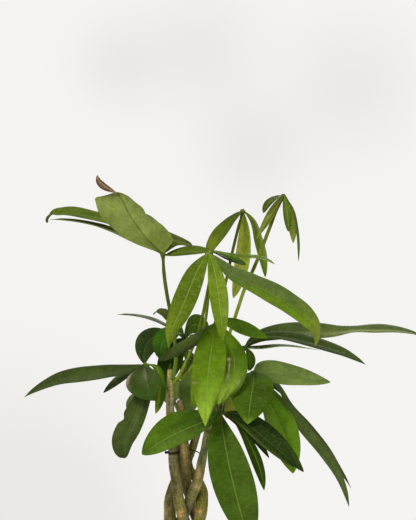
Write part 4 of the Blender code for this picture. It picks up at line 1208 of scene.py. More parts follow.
# How the patches of painted highlight between the veins are stretched.
GLINT_STRETCH = (0.13, 0.42, 1)
PALE_VEIN, DARK_VEIN = (0.34, 0.46, 0.10, 1), (0.02, 0.05, 0.005)
# PAINTED_GLINT is the pale colour of the painted highlights.
PAINTED_GLINT = (0.42, 0.50, 0.20)


def new_group(name, inputs, outputs):
    """A node group with named sockets. Each input is (name, kind, default)."""
    group = bpy.data.node_groups.new(name, "ShaderNodeTree")
    sockets = group.interface
    for label, kind, default in inputs:
        socket = sockets.new_socket(label, in_out="INPUT", socket_type="NodeSocket" + kind)
        if default is not None:
            socket.default_value = default
    for label, kind in outputs:
        sockets.new_socket(label, in_out="OUTPUT", socket_type="NodeSocket" + kind)
    return group, node(group, "NodeGroupInput").outputs, node(group, "NodeGroupOutput").inputs


def noise(tree, vector, scale, detail=2.0):
    """The value of a Noise Texture node."""
    made = node(tree, "ShaderNodeTexNoise")
    tree.links.new(vector, made.inputs["Vector"])
    made.inputs["Scale"].default_value = scale
    made.inputs["Detail"].default_value = detail
    return made.outputs["Fac"]


def stretched_noise(tree, vector, stretch, detail):
    """Noise on a vector that is scaled differently in each direction."""
    made = node(tree, "ShaderNodeMapping")
    made.inputs["Scale"].default_value = stretch
    tree.links.new(vector, made.inputs["Vector"])
    return noise(tree, made.outputs["Vector"], 1.0, detail)


def cells(tree, vector, scale, feature):
    """A distance in a pattern of cells: F1 from their middles, DISTANCE_TO_EDGE from their edges."""
    made = node(tree, "ShaderNodeTexVoronoi", feature=feature)
    tree.links.new(vector, made.inputs["Vector"])
    made.inputs["Scale"].default_value = scale
    return made.outputs["Distance"]


def vein_lines(tree, blade, edge, pitch):
    """Masks of the side veins and of the midrib: 1 within the line's first distance, 0 past its
    second."""
    split = node(tree, "ShaderNodeSeparateXYZ")
    tree.links.new(blade, split.inputs[0])
    reach = maths(tree, "ABSOLUTE", split.outputs["X"])
    lean = times_plus(tree, edge, VEIN_BEND, VEIN_LEAN)
    along = maths(tree, "SUBTRACT", split.outputs["Y"], times(tree, reach, lean))
    right = times(tree, maths(tree, "GREATER_THAN", split.outputs["X"], 0.0), 0.5)
    number = plus(tree, maths(tree, "DIVIDE", along, pitch), right)
    away = times(tree, maths(tree, "PINGPONG", number, 0.5), pitch)
    line = ramp(tree, away, *VEIN_LINE, 1.0, 0.0)
    line = times(tree, line, ramp(tree, edge, *VEIN_END, 1.0, 0.0))
    return line, ramp(tree, reach, *RIB_LINE, 1.0, 0.0)


def leaf_colour(tree, given, line, drawn, mottle):
    """The tint in lighter and darker clouds, painted highlights that glint between the veins, and the
    veins drawn on it: a positive Rib or Vein is pale, a negative one dark."""
    blotch = ramp(tree, noise(tree, given["Skin"], BLOTCH_SCALE, 3.0), 0.34, 0.66)
    shade = times_plus(tree, blotch, 0.20, times_plus(tree, mottle, 0.26, 0.76))
    colour = blend(tree, 1.0, given["Tint"], shade, "MULTIPLY")
    # Painted highlights on the swellings between the veins, stronger where Vein is larger.
    glint_spots = ramp(tree, stretched_noise(tree, given["Blade"], GLINT_STRETCH, 2.0), 0.48, 0.74)
    glint = times(tree, glint_spots, times(tree, maths(tree, "ABSOLUTE", given["Vein"]), 1.8))
    glint = times(tree, glint, maths(tree, "SUBTRACT", 1.0, line))
    colour = blend(tree, glint, colour, PAINTED_GLINT)
    colour = blend(tree, maths(tree, "MAXIMUM", drawn, 0.0), colour, given["Pale"])
    dark = maths(tree, "MAXIMUM", times(tree, drawn, -1.0), 0.0)
    return blend(tree, dark, colour, DARK_VEIN)


def leaf_pattern():
    """Side veins, midrib, net of fine veins and mottling from a place on the blade in millimetres."""
    group, given, out = new_group(
        "leaf pattern",
        [("Tint", "Color", None), ("Blade", "Vector", None), ("Skin", "Vector", None),
         ("Edge", "Float", 0.0), ("Rib", "Float", 0.0), ("Vein", "Float", 0.0),
         ("Pitch", "Float", float(PLAIN_PITCH)), ("Pale", "Color", PALE_VEIN)],
        [("Colour", "Color"), ("Height", "Float"), ("Wear", "Float")],
    )
    line, rib = vein_lines(group, given["Blade"], given["Edge"], given["Pitch"])
    net = cells(group, given["Blade"], NET_SCALE, "DISTANCE_TO_EDGE")
    net = ramp(group, net, *NET_LINE, 1.0, 0.0)
    mottle = ramp(group, noise(group, given["Skin"], MOTTLE_SCALE, 4.0), 0.32, 0.68)
    drawn = plus(group, times(group, line, given["Vein"]), times(group, rib, given["Rib"]))
    drawn = plus(group, drawn, times(group, times(group, net, given["Vein"]), 0.28))
    group.links.new(leaf_colour(group, given, line, drawn, mottle), out["Colour"])
    raised = plus(group, times(group, line, -0.5), times(group, rib, -0.3))
    raised = plus(group, raised, times(group, net, -0.18))
    fine = noise(group, given["Skin"], SKIN_SCALE)
    group.links.new(times_plus(group, fine, 0.22, raised), out["Height"])
    group.links.new(times_plus(group, mottle, 0.16, -0.08), out["Wear"])
    return group


LEAF_PATTERN = leaf_pattern()
print("leaf pattern nodes:", len(LEAF_PATTERN.nodes))

# %% [markdown]
# ## Two leaf materials
# Young and old leaves share the pattern and differ in what is constant: how much they mirror and how
# deep their bump is. Those constants go straight onto the shader and its Bump node. Colour, height
# and roughness come from the group, fed by the attributes of each leaf.

# %% Leaf materials
def attribute(tree, name):
    """A measurement of the piece's own points: a colour for the tint, a number for the others."""
    made = node(tree, "ShaderNodeAttribute", attribute_name=name, attribute_type="GEOMETRY")
    return made.outputs["Color"] if name == "tint" else made.outputs["Fac"]


def blade_place(tree):
    """The point's place on its leaf or stem in millimetres."""
    return node(tree, "ShaderNodeUVMap", uv_map="blade").outputs["UV"]


def place_group(tree, group, **values):
    """The group in a material, with its inputs given."""
    made = node(tree, "ShaderNodeGroup", node_tree=group)
    for name, value in values.items():
        feed(tree, made.inputs[name], value)
    return made.outputs


def dress_shader(tree, shader, colour, rough, height, depth):
    """Gives a shader its colour and roughness, and a bump by a height worth depth metres from 0 to 1."""
    tree.links.new(colour, shader.inputs["Base Color"])
    tree.links.new(rough, shader.inputs["Roughness"])
    bump = node(tree, "ShaderNodeBump")
    bump.inputs["Distance"].default_value = depth
    tree.links.new(height, bump.inputs["Height"])
    tree.links.new(bump.outputs["Normal"], shader.inputs["Normal"])


LEAF_SHEEN = (0.80, 0.95, 0.25, 1)
# A leaf's roughness without any gloss, and how much a gloss of 1 takes away.
LEAF_DULL, LEAF_SHINE = 0.88, 0.85


def leaf_material(name, specular, depth):
    """The leaf pattern fed by the piece's own measurements, on a waxy shader."""
    made, tree, shader = new_material(name)
    measured = {key.title(): attribute(tree, key) for key in ("tint", "edge", "rib", "vein", "pitch")}
    out = place_group(
        tree, LEAF_PATTERN, Blade=blade_place(tree), Skin=object_place(tree), **measured
    )
    shine = times(tree, attribute(tree, "gloss"), LEAF_SHINE)
    rough = plus(tree, maths(tree, "SUBTRACT", LEAF_DULL, shine), out["Wear"])
    dress_shader(tree, shader, out["Colour"], rough, out["Height"], depth)
    shader.inputs["Specular IOR Level"].default_value = specular
    shader.inputs["Specular Tint"].default_value = LEAF_SHEEN
    return made


LEAF_MATERIALS = {
    YOUNG: leaf_material("young_leaf", 0.05, 0.0003),
    MATURE: leaf_material("mature_leaf", 0.03, 0.0002),
}
print("leaf materials:", ", ".join(LEAF_MATERIALS))

# %% [markdown]
# ## Stalks
# The stalk is a slender tube, a little swollen where it leaves its stem and again at the hub, where
# the leaflets meet. It is greener and shinier than the blades, with faint darker streaks.

# %% Build every leaf
STALK_GREEN = {YOUNG: (0.150, 0.195, 0.016), MATURE: (0.085, 0.125, 0.016)}
# How much lighter a stalk is at its foot, and over how many millimetres that fades. Partly the
# paler green of the foot, partly painted highlight, which runs far up the stalk of leaf_top_right.
FOOT_LIGHT = {"leaf_top_right": (2.4, 85)}
USUAL_FOOT_LIGHT = (0.9, 45)
STALK_SIDES = 14
STALK_STEP = 1.6
STALK_GLOSS = 0.6
# How strong the stalk's streaks are, and their size around and along it in millimetres.
STREAK, STREAK_WIDTH, STREAK_LENGTH = 0.16, 1.1, 22
# How far apart the seeds of two leaves are.
LEAF_SEEDS = 31


def stalk_surface(leaf):
    """A tube from the stem to the hub, swollen at both ends: its radius is interpolated between the
    same few values as in the solid."""
    hub = place(leaf.hub)
    path = np.array([*place(leaf.stalk), hub])
    length = np.linalg.norm(np.diff(path, axis=0), axis=1).sum()
    line = smooth(path, max(4, round(length / STALK_ROW_LENGTH)))
    end = unit(line[-1] - line[-2])
    line = np.concatenate([line[:-1], [hub - end * HUB_LEAD, hub, hub + end * HUB_END]])
    radii = np.full(len(line), leaf.radius)
    radii[:2] = leaf.radius * STALK_FOOT_SWELL
    radii[-2:] = (HUB_RADIUS, HUB_RADIUS * HUB_END_SHARE)
    fine = smooth(np.c_[line, radii], max(16, int(length / STALK_STEP)))
    points, thick = closed_line(fine[:, :3], fine[:, 3])
    base = np.asarray(STALK_GREEN[leaf.colour])
    gain, fade = FOOT_LIGHT.get(leaf.name, USUAL_FOOT_LIGHT)

    def streaked(at):
        lighter = 1 + gain * np.exp(-((np.linalg.norm(at - path[0], axis=1) / fade) ** 2))
        streak = ripple(at[:, 0] / STREAK_WIDTH, at[:, 2] / STREAK_LENGTH, len(leaf.name))
        return base * (lighter * (1 + STREAK * streak))[:, None]

    return tube(points, thick, STALK_SIDES, streaked, STALK_GLOSS)


def look(word):
    """A finish with its upper and under colour made lighter or darker."""
    name, strength = word.split(":")
    finish = FINISHES[name]
    upper, under = (tuple(float(strength) * np.asarray(colour)) for colour in finish[:2])
    return finish._replace(upper=upper, under=under)


def make_leaf(leaf, number):
    """The stalk and all leaflets of a leaf as one piece in the place of its solid."""
    finishes = [look(word) for word in LOOKS[leaf.name].split()]
    marks = MARKS.get(leaf.name, {})
    parts = [stalk_surface(leaf)]
    for i, (leaflet, finish) in enumerate(zip(leaf.leaflets, finishes)):
        seed = LEAF_SEEDS * number + i
        parts.append(blade_surface(leaflet, leaf.hub, finish, marks.get(i + 1, ()), seed))
    material = LEAF_MATERIALS[leaf.colour]
    piece = make_piece("fine_" + leaf.name, joined(parts), material, leaf.colour, leaf.name)
    return len(piece.data.polygons)


faces = [make_leaf(leaf, i) for i, leaf in enumerate(LEAVES)]
print("leaves:", len(faces), "faces:", sum(faces), "most on one:", max(faces))

# %% [markdown]
# ## Bark
# The stems are still half green. Their bark is thin and olive brown, ringed by the scars of fallen
# leaves, with fine cracks along them and pale tan spots where it has rubbed off. The colour of each
# place is again a tint at the points, and the group adds the rings, cracks and grain.

# %% Node group and material: bark
# How the noises on the bark's own millimetres are scaled, around the stem and along it.
CRACKS, RINGS, HIGHLIGHT_STREAKS = (0.32, 0.035, 1), (0.03, 0.36, 1), (0.55, 0.06, 1)
PORE_SCALE = 0.42
PATCH_SCALE, GRAIN_SCALE = 130.0, 420.0
# The pale tan of rubbed patches and of pores, and the pale colour of the painted highlight streaks.
RUBBED, PORE_TAN, STREAK_HIGHLIGHT = (0.30, 0.27, 0.13), (0.48, 0.38, 0.20), (0.50, 0.46, 0.30)
BARK_SPECULAR = 0.15
BARK_BUMP = 0.0006


def bark_pattern():
    """Grain stretched along the stem, close rings across it, small pale pores and painted highlight
    streaks along it.
    """
    group, given, out = new_group(
        "bark pattern",
        [("Tint", "Color", None), ("Bark", "Vector", None), ("Skin", "Vector", None)],
        [("Colour", "Color"), ("Height", "Float"), ("Rough", "Float")],
    )
    crack = ramp(group, stretched_noise(group, given["Bark"], CRACKS, 3.0), 0.38, 0.62)
    ring = ramp(group, stretched_noise(group, given["Bark"], RINGS, 2.0), 0.40, 0.64)
    streak = stretched_noise(group, given["Bark"], HIGHLIGHT_STREAKS, 3.0)
    patch = noise(group, given["Skin"], PATCH_SCALE, 5.0)
    pore = ramp(group, cells(group, given["Bark"], PORE_SCALE, "F1"), 0.10, 0.24, 1.0, 0.0)
    grain = ramp(group, noise(group, given["Skin"], GRAIN_SCALE, 3.0), 0.3, 0.7, 0.68, 1.22)
    shade = times(group, times_plus(group, crack, 0.34, 0.74), times_plus(group, ring, 0.20, 0.88))
    colour = blend(group, 1.0, given["Tint"], times(group, shade, grain), "MULTIPLY")
    colour = blend(group, ramp(group, patch, 0.50, 0.66, 0.0, 0.35), colour, RUBBED)
    colour = blend(group, times(group, pore, 0.4), colour, PORE_TAN)
    # Pale streaks along the stem are a painted highlight.
    colour = blend(group, ramp(group, streak, 0.60, 0.72, 0.0, 0.3), colour, STREAK_HIGHLIGHT)
    group.links.new(colour, out["Colour"])
    height = plus(group, times(group, crack, 0.4), times(group, ring, 0.3))
    group.links.new(times_plus(group, pore, 0.25, height), out["Height"])
    group.links.new(times_plus(group, patch, 0.25, 0.48), out["Rough"])
    return group


BARK_PATTERN = bark_pattern()


def bark_material():
    """The bark pattern on a nearly matt shader."""
    made, tree, shader = new_material("bark")
    out = place_group(
        tree, BARK_PATTERN, Tint=attribute(tree, "tint"), Bark=blade_place(tree), Skin=object_place(tree)
    )
    dress_shader(tree, shader, out["Colour"], out["Rough"], out["Height"], BARK_BUMP)
    shader.inputs["Specular IOR Level"].default_value = BARK_SPECULAR
    return made


BARK = bark_material()
print("bark nodes:", len(BARK_PATTERN.nodes))

# %% [markdown]
# ## The braid
# In the braid a stem swings from side to side once in a pitch and from front to back twice, so the
# five pass over and under each other like a plait. Above it each stem goes its own way, along places
# set out from the eye. The values are the solids' own.

# %% Where the stems run
STEM_COUNT = 5
STEM_RADIUS = 6.5
STEM_FOOT_RADIUS = 8.6
BRAID_HALF_WIDTH = 18.4
BRAID_HALF_DEPTH = 14.2
BRAID_PITCH = 240.0
CROSSING_UP = 304.7
BRAID_LOW = 160.0
BRAID_TOP = 312.0
BRAID_STEP = 14.0
FOOT_SPREAD = 1.35
FOOT_UP = 78.0
SPREAD_TOP = 190.0
SOIL_TOP = 134.0
FOOT_LEVELS = (FOOT_UP, 105.0, SOIL_TOP)
STEM_STEPS = 320

# The places of each stem above the braid, read from the eye, with the radius there.
STEM_TOPS = (
    ((-6, 324, -11.5, 6.3), (-8.5, 335, -13.5, 6.2), (-11.3, 357, -13, 6.0), (-14, 374, -10.5, 5.8),
     (-15, 390, -8, 5.3), (-17.4, 425, -5, 4.9), (-18.2, 441, -4, 4.7), (-17.8, 456, -3, 4.3),
     (-18, 480, -2, 3.6)),
    ((13, 311, 11, 6.4), (9.1, 321, 14.2, 6.3), (5.8, 334, 12.2, 6.0), (1.4, 346, 5.2, 5.9),
     (0, 354, 1, 5.8), (-1, 366, -1, 5.6), (-2, 388, 0, 5.4), (-4, 415, 4, 4.5), (-8, 446, 8, 3.2)),
    ((-6, 312, 11.9, 6.4), (-1.2, 324, 4.2, 6.2), (3.8, 335, -5, 6.0), (8, 346, -11.8, 5.9),
     (12.4, 357, -14, 5.7), (16.8, 377, -12, 5.0), (19.7, 392, -9.5, 4.1), (22.3, 407, -7.5, 3.9),
     (29, 424, -4.5, 3.8), (35.5, 442, -1, 3.6), (38, 462, 2, 3.0)),
    ((16.9, 324, -10.8, 6.2), (17.2, 334, -4.5, 6.6), (17.3, 345, 6.2, 6.1), (12, 357, 12.3, 5.6),
     (3.4, 369, 12.5, 5.2), (1.8, 378, 13.2, 4.8), (5.2, 388, 14.5, 4.9), (9.6, 402, 18, 4.7),
     (12.8, 413, 21.5, 4.4), (22, 446, 30, 3.8), (28, 474, 38, 3.0)),
    ((-18.1, 313, -1.8, 6.8), (-18.5, 324, 5, 6.7), (-18.6, 334, 10, 6.3), (-15.8, 345, 13.8, 6.1),
     (-12, 356, 15, 5.9), (-9.8, 370, 15.5, 5.5), (-9.3, 388, 17, 5.2), (-6, 420, 24, 4.4),
     (-2, 452, 32, 3.8), (2, 482, 38, 3.0)),
)

# The place of each of these stems in the braid's order.
BRAID_ORDER = (0, 1, 3, 2, 4)


def braid_point(strand, up):
    """Sideways: half width * sin(turn). Front to back: half depth * sin(2 * turn). turn falls by a
    whole circle in each pitch of height, and each strand starts a fifth of a circle on."""
    turn = 2 * math.pi * (strand / STEM_COUNT + (CROSSING_UP - max(up, BRAID_LOW)) / BRAID_PITCH)
    share = min(1.0, max(0.0, (SPREAD_TOP - up) / (SPREAD_TOP - SOIL_TOP)))
    spread = 1 + (FOOT_SPREAD - 1) * share * share * (3 - 2 * share)
    across = BRAID_HALF_WIDTH * spread * math.sin(turn)
    away = BRAID_HALF_DEPTH * spread * math.sin(2 * turn)
    return across, away, up


def stem_path(index):
    """A stem's centre line and radius from its foot to its top, as rows of four numbers."""
    strand = BRAID_ORDER[index]
    levels = np.arange(BRAID_LOW, BRAID_TOP + 1, BRAID_STEP)
    low = [(*braid_point(strand, up), STEM_FOOT_RADIUS) for up in FOOT_LEVELS]
    mid = [(*braid_point(strand, up), STEM_RADIUS) for up in levels]
    tops = np.array(STEM_TOPS[index], float)
    top = [(*p, r) for p, r in zip(place(tops[:, :3]), tops[:, 3])]
    return smooth(low + mid + top, STEM_STEPS)


print("stem 1 ends at", stem_path(0)[-1])

# %% [markdown]
# ## Skin of the stems
# Each stem's tube is cut in by shallow rings and soft dents, never pushed out, because its
# neighbours in the braid are only a fraction of a millimetre away. Marks work as on the leaves, but
# lie at places read across and up, on the side that faces the eye. Besides scars they hold painted
# shade and painted highlights, and painted shade darkens the bark where two stems lie close.

# %% Build the stems
OLIVE = np.array((0.270, 0.240, 0.035))
BROWN_BARK = np.array((0.400, 0.265, 0.060))
TAN_GREEN = np.array((0.300, 0.260, 0.060))
GREEN_BARK = np.array((0.250, 0.255, 0.065))
OLD_BARK = np.array((0.210, 0.165, 0.090))
DRY_CUT = (0.42, 0.33, 0.22)
# Each scar or painted light: (across, up, size across, size up, colour, strength).
SCARS_AND_PAINTED_LIGHT = (
    (11, 349, 4, 2.5, (1.0, 0.72, 0.32), 1.0),
    (7, 352, 2, 1.5, (1.0, 0.72, 0.32), 0.8),
    (15, 346, 2, 1.5, (0.9, 0.60, 0.24), 0.8),
    (-6, 320, 3, 3.5, (1.0, 0.50, 0.12), 1.0),
    (14, 323, 4, 2, (0.95, 0.50, 0.14), 0.9),
    (-24.5, 325, 2, 7, (0.95, 0.58, 0.26), 0.9),
    (13, 366, 3.2, 12, (0.95, 0.60, 0.24), 0.9),
    (16, 382, 3, 12, (0.17, 0.25, 0.09), 0.8),
    (-17, 352, 1.2, 9, (0.50, 0.33, 0.12), 0.6),
    (-15, 376, 5, 9, (0.27, 0.22, 0.13), 0.7),
    # The left stem's stub: its own pale tan, lifted further by painted light against the crown's shade.
    (-17, 456, 5, 24, (1.0, 0.78, 0.24), 0.9),
    (20.5, 385, 2, 22, (0.70, 0.54, 0.22), 0.7),
    # Painted shadow under the low leaf, in two bands across the stems just above the tie.
    (0, 400, 14, 5, (0.06, 0.045, 0.02), 0.75),
    (-9, 391.5, 12, 2.5, (0.06, 0.045, 0.02), 0.7),
    (24, 356, 3, 4, (0.16, 0.13, 0.03), 0.5),
    (7, 338, 4, 8, (0.40, 0.33, 0.12), 0.5),
    (-17, 441, 4, 8, (1.0, 0.84, 0.56), 0.9),
    (-18, 466, 2, 8, (0.50, 0.52, 0.14), 0.7),
    (-19.5, 446, 1.2, 8, (0.20, 0.12, 0.06), 0.6),
    (-7, 442, 3, 5, (0.60, 0.42, 0.34), 0.8),
    (-14, 402, 5, 4, (0.34, 0.27, 0.18), 0.6),
    (-11, 459, 3, 3, (0.12, 0.06, 0.03), 0.8),
    (22.5, 411, 5, 3, (0.03, 0.02, 0.015), 0.95),
    (31, 425, 5, 4, (0.09, 0.05, 0.03), 0.7),
    (23, 394, 4, 13, (0.16, 0.24, 0.08), 0.8),
    (-3, 385, 4, 16, (0.60, 0.43, 0.16), 0.6),
    (4, 322, 5, 9, (0.36, 0.33, 0.24), 0.8),
    # Painted shade down the left side of the braid and of the left stem, the side away from the light.
    (-20, 330, 6, 30, (0.09, 0.070, 0.020), 0.93),
    (-14, 350, 4, 26, (0.11, 0.090, 0.025), 0.85),
    (-18, 376, 3, 14, (0.14, 0.115, 0.045), 0.6),
    (-22, 325, 1.2, 6, (0.45, 0.26, 0.10), 0.5),
    # Painted highlight: thin pale streaks down the left stem.
    (-11.5, 366, 1.2, 6, (0.50, 0.46, 0.28), 0.4),
    (-9, 350, 1.2, 9, (0.50, 0.46, 0.28), 0.5),
    (0, 330, 4, 12, (0.46, 0.34, 0.09), 0.5),
    (19, 342, 2.5, 8, (0.36, 0.33, 0.08), 0.6),
)
STEM_TINTS = (TAN_GREEN, BROWN_BARK, GREEN_BARK, OLIVE, OLIVE)
STEM_SIDES = 40
STEM_ROUNDING = 0.35
# Painted shade in the crevices: how far from a neighbouring stem the bark is darkened, in
# millimetres, and how much.
CREVICE_REACH = 3.8
CREVICE_SHADE = 0.75
# Rings cut into the bark: how far apart they are, half their width and their depth, and dents.
RING_STEP, RING_WIDTH, RING_DEPTH = 17, 0.9, 0.30
DENT_DEPTH = 0.25
# The radius by which the bark's pattern is unrolled, and how far it is shifted for each stem.
UNROLLED_RADIUS = 6
UNROLLED_SHIFT = 40
# The first two stems end in a dry cut, which fades in over these distances below the top.
CUT_STEMS = 2
CUT_FADE = (2.5, 0.8)


def stem_relief(index):
    """Inward only: -(ring notches + soft dents), at most 0.55 mm."""
    def relief(run, angle):
        wandering = run + 3 * ripple(run / 9, 0 * run, index)
        rings = np.exp(-(((wandering % RING_STEP - 8) / RING_WIDTH) ** 2))
        dents = ripple(run / 6, 1.4 * np.sin(angle), 50 + index) * 0.5 + 0.5
        return -RING_DEPTH * rings - DENT_DEPTH * np.clip(dents, 0, 1)
    return relief


def read_back(points):
    """The across and up readings of points: place() turned round."""
    grow = (EYE_DISTANCE + points[:, 1]) / EYE_DISTANCE
    return EYE_ACROSS + (points[:, 0] - EYE_ACROSS) / grow, EYE_UP + (points[:, 2] - EYE_UP) / grow


def crevice(points, index):
    """The share of painted shade: 1 where another stem touches the point, and exp(-(gap / reach)^2)
    with the gap to its bark.
    """
    share = np.zeros(len(points))
    across, away, up = points.T
    for other in range(STEM_COUNT):
        if other != index:
            path = stem_path(other)
            x, y, radius = (np.interp(up, path[:, 2], path[:, i]) for i in (0, 1, 3))
            gap = np.maximum(np.hypot(across - x, away - y) - radius, 0)
            near = np.exp(-((gap / CREVICE_REACH) ** 2)) * (up < path[-1, 2])
            share = np.maximum(share, near)
    return share


def stem_tint(points, centre, index, top_up):
    """Base colour, older and browner towards the foot, painted shade in the crevices, the scars and the
    painted shade and highlights that face the eye, and a dry cut on top."""
    x, up = points[:, 0], points[:, 2]
    old = 0.75 * smoothstep(-up, -BRAID_TOP, -SOIL_TOP)
    tint = mixed(STEM_TINTS[index], OLD_BARK, old)
    tint = tint * (1 + 0.22 * ripple(x / 5, up / 13, 7 + index))[:, None]
    green = 0.45 * smoothstep(ripple(x / 7, up / 24, 90 + index), -0.1, 0.8)
    tint = mixed(tint, GREEN_BARK, green)
    tint = tint * (1 - CREVICE_SHADE * crevice(points, index))[:, None]
    facing = smoothstep(centre[:, 1] - points[:, 1], 0.5, 3.0)
    tint = marked(tint, *read_back(points), SCARS_AND_PAINTED_LIGHT, facing)
    if index < CUT_STEMS:
        below, above = CUT_FADE
        tint = mixed(tint, DRY_CUT, smoothstep(up, top_up - below, top_up - above))
    return tint


def make_stem(index):
    """One stem as a piece. Its blade map is the run round its bark and along it in millimetres."""
    path = stem_path(index)
    line, radii = closed_line(path[:, :3], path[:, 3], STEM_ROUNDING)
    points = tube_points(line, radii, STEM_SIDES, stem_relief(index)).reshape(-1, 3)
    tint = stem_tint(points, np.repeat(line, STEM_SIDES, axis=0), index, line[-1, 2])
    surface = plain_surface(points, skin_faces(len(line), STEM_SIDES), tint)
    half_turns = np.abs(np.linspace(-1, 1, STEM_SIDES + 1)[:-1])
    around = np.tile(half_turns * math.pi * UNROLLED_RADIUS, len(line)) + UNROLLED_SHIFT * index
    bark = np.stack([around, np.repeat(run_length(line), STEM_SIDES)], axis=-1)
    surface = surface._replace(blade=bark)
    make_piece(f"fine_stem_{index + 1}", surface, BARK, "bark", f"stem_{index + 1}")
    return round(line[-1, 2])


print("stems end at", [make_stem(i) for i in range(STEM_COUNT)], "mm")

# %% [markdown]
# ## Young shoots
# Where the leaf stalks leave the top of a stem sit narrow stipules and the first tips of new leaves.
# They are too slight for the solids. Each is a thin tube whose radius falls from its foot to its tip
# as (1 - t)^0.7, and all of them are one piece.

# %% Tufts of stipules
# Each tuft: its foot (across, up, away), how many tips, their length and how far they lean.
TUFTS = (
    ((37, 429, -34), 9, 15, 0.9), ((34, 446, -8), 6, 9, 0.8), ((-17, 478, -3), 4, 7, 0.7),
    ((31, 452, 4), 5, 8, 0.8), ((-6, 446, 30), 4, 8, 0.8), ((24, 456, 32), 4, 8, 0.8),
)
SHOOT_GREEN, SHOOT_BROWN = np.array((0.075, 0.115, 0.020)), np.array((0.16, 0.10, 0.045))
SHOOT_ROWS, SHOOT_SIDES = 9, 6
SHOOT_TIP, SHOOT_FOOT = 0.15, 0.75
# The share of the shoots that are dry and brown.
DRY_SHARE = 0.3


def shoot(foot, length, lean, rng):
    """foot + length * t * (leaning direction bent upwards), with a thickness that tapers."""
    t = np.linspace(0, 1, SHOOT_ROWS)[:, None]
    turn = rng.uniform(0, 2 * np.pi)
    out = lean * np.array((np.cos(turn), 0.5 * np.sin(turn), 0.0)) * rng.uniform(0.3, 1)
    size = length * rng.uniform(0.6, 1.1)
    line = foot + size * (t * (np.array((0, 0, 1.0)) + out) - 0.35 * t**2 * out)
    share = rng.uniform(0, 1)
    dry = share < DRY_SHARE
    colour = SHOOT_GREEN * (0.6 + share) * (1 - 0.5 * dry) + SHOOT_BROWN * dry
    return tube(line, SHOOT_TIP + SHOOT_FOOT * (1 - t[:, 0]) ** 0.7, SHOOT_SIDES, colour)


def tuft(foot, count, length, lean, seed):
    """Shoots whose feet are scattered round one place, with a seeded random draw."""
    rng = np.random.default_rng(seed)
    base = place([foot])[0]
    return [
        shoot(base + rng.uniform(-2, 2, 3) * (1, 1, 0.4), length, lean, rng) for _ in range(count)
    ]


shoots = joined([tip for i, plan in enumerate(TUFTS) for tip in tuft(*plan, 70 + i)])
make_piece("young_shoots", shoots, LEAF_MATERIALS[MATURE], MATURE)
print("shoots:", sum(plan[1] for plan in TUFTS), "faces:", len(shoots.faces))

# %% [markdown]
# ## The tie
# A turn of soft dark wire holds the left stem, and its loose end runs behind the middle one. The
# solid already has the right form, so it stays and only gets a material: dark plastic with a dull
# skin, a little dusty and scuffed.

# %% Material of the tie
WIRE_BLACK, WIRE_DUST = (0.006, 0.006, 0.006), (0.022, 0.020, 0.016)
DUST_SCALE = 320.0
WIRE_SPECULAR = 0.2
WIRE_BUMP = 0.0002


def tie_material():
    """Dark plastic, paler and rougher where a noise puts dust on it."""
    made, tree, shader = new_material("tie")
    dust = noise(tree, object_place(tree), DUST_SCALE, 4.0)
    colour = blend(tree, ramp(tree, dust, 0.48, 0.75), WIRE_BLACK, WIRE_DUST)
    rough = ramp(tree, dust, 0.3, 0.7, 0.42, 0.75)
    dress_shader(tree, shader, colour, rough, dust, WIRE_BUMP)
    shader.inputs["Specular IOR Level"].default_value = WIRE_SPECULAR
    return made


def dress_node(name, material):
    """Assigns a material to a solid that stays as it is."""
    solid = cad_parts[name]
    if not solid.material_slots:
        solid.data.materials.append(material)
    for slot in solid.material_slots:
        slot.link = "OBJECT"
        slot.material = material


dress_node("tie", tie_material())
print("the tie keeps its solid")

# %% [markdown]
# ## The pot
# The picture ends above the pot, so it is finished plainly: a tapered bowl of thrown stoneware under
# a warm white glaze. Such a pot shows soft throwing rings, fine iron specks, a glaze that thins to
# buff on the rim's edge, and a bare foot where the glaze was wiped away.
# It is turned: a profile of radius and height is carried round the axis.

# %% Turned surfaces
POT_HEIGHT = 150.0
POT_TOP_RADIUS = 85.0
POT_BASE_RADIUS = 62.0
POT_WALL = 5.5
POT_FLOOR = 8.0
POT_EDGE_RADIUS = 2.5
CORNER_POINTS = 9
PROFILE_STEP = 2.5
# The radius that the profile starts and ends with on the axis, where strips of faces close it.
POLE_RADIUS = 0.05


def wall_radius(up):
    """The outer radius at a height: it grows evenly from the base to the top."""
    return POT_BASE_RADIUS + (POT_TOP_RADIUS - POT_BASE_RADIUS) * up / POT_HEIGHT


def corner(centre, radius, first, last):
    """centre + radius * (cos, sin) from one angle to another in degrees."""
    angles = np.radians(np.linspace(first, last, CORNER_POINTS))
    x, y = centre
    return np.stack([x + radius * np.cos(angles), y + radius * np.sin(angles)], axis=-1)


def pot_profile():
    """Radius and height from the middle of the floor inside, up, over the rim and down to the foot."""
    edge = POT_EDGE_RADIUS
    inner_top = (POT_TOP_RADIUS - POT_WALL + edge, POT_HEIGHT - edge)
    outer_top = (POT_TOP_RADIUS - edge, POT_HEIGHT - edge)
    foot = (POT_BASE_RADIUS - edge, edge)
    profile = np.concatenate([
        [(POLE_RADIUS, POT_FLOOR), (wall_radius(POT_FLOOR) - POT_WALL, POT_FLOOR)],
        corner(inner_top, edge, 180, 90), corner(outer_top, edge, 90, 0), corner(foot, edge, 0, -90),
        [(POLE_RADIUS, 0.0)],
    ])
    run = np.concatenate(([0], np.cumsum(np.hypot(*np.diff(profile, axis=0).T))))
    fine = np.unique(np.concatenate((run, np.arange(0, run[-1], PROFILE_STEP))))
    return np.stack([np.interp(fine, run, profile[:, i]) for i in (0, 1)], axis=-1)


def turned(profile, sides):
    """radius * (cos, sin) of the angle and the profile's height, on a grid of profile and angle."""
    angle = ring_angles(sides)
    radius, up = profile[:, :1], np.repeat(profile[:, 1:], sides, axis=1)
    return np.stack([radius * np.cos(angle), radius * np.sin(angle), up], axis=-1)


print("points on the pot's profile:", len(pot_profile()))

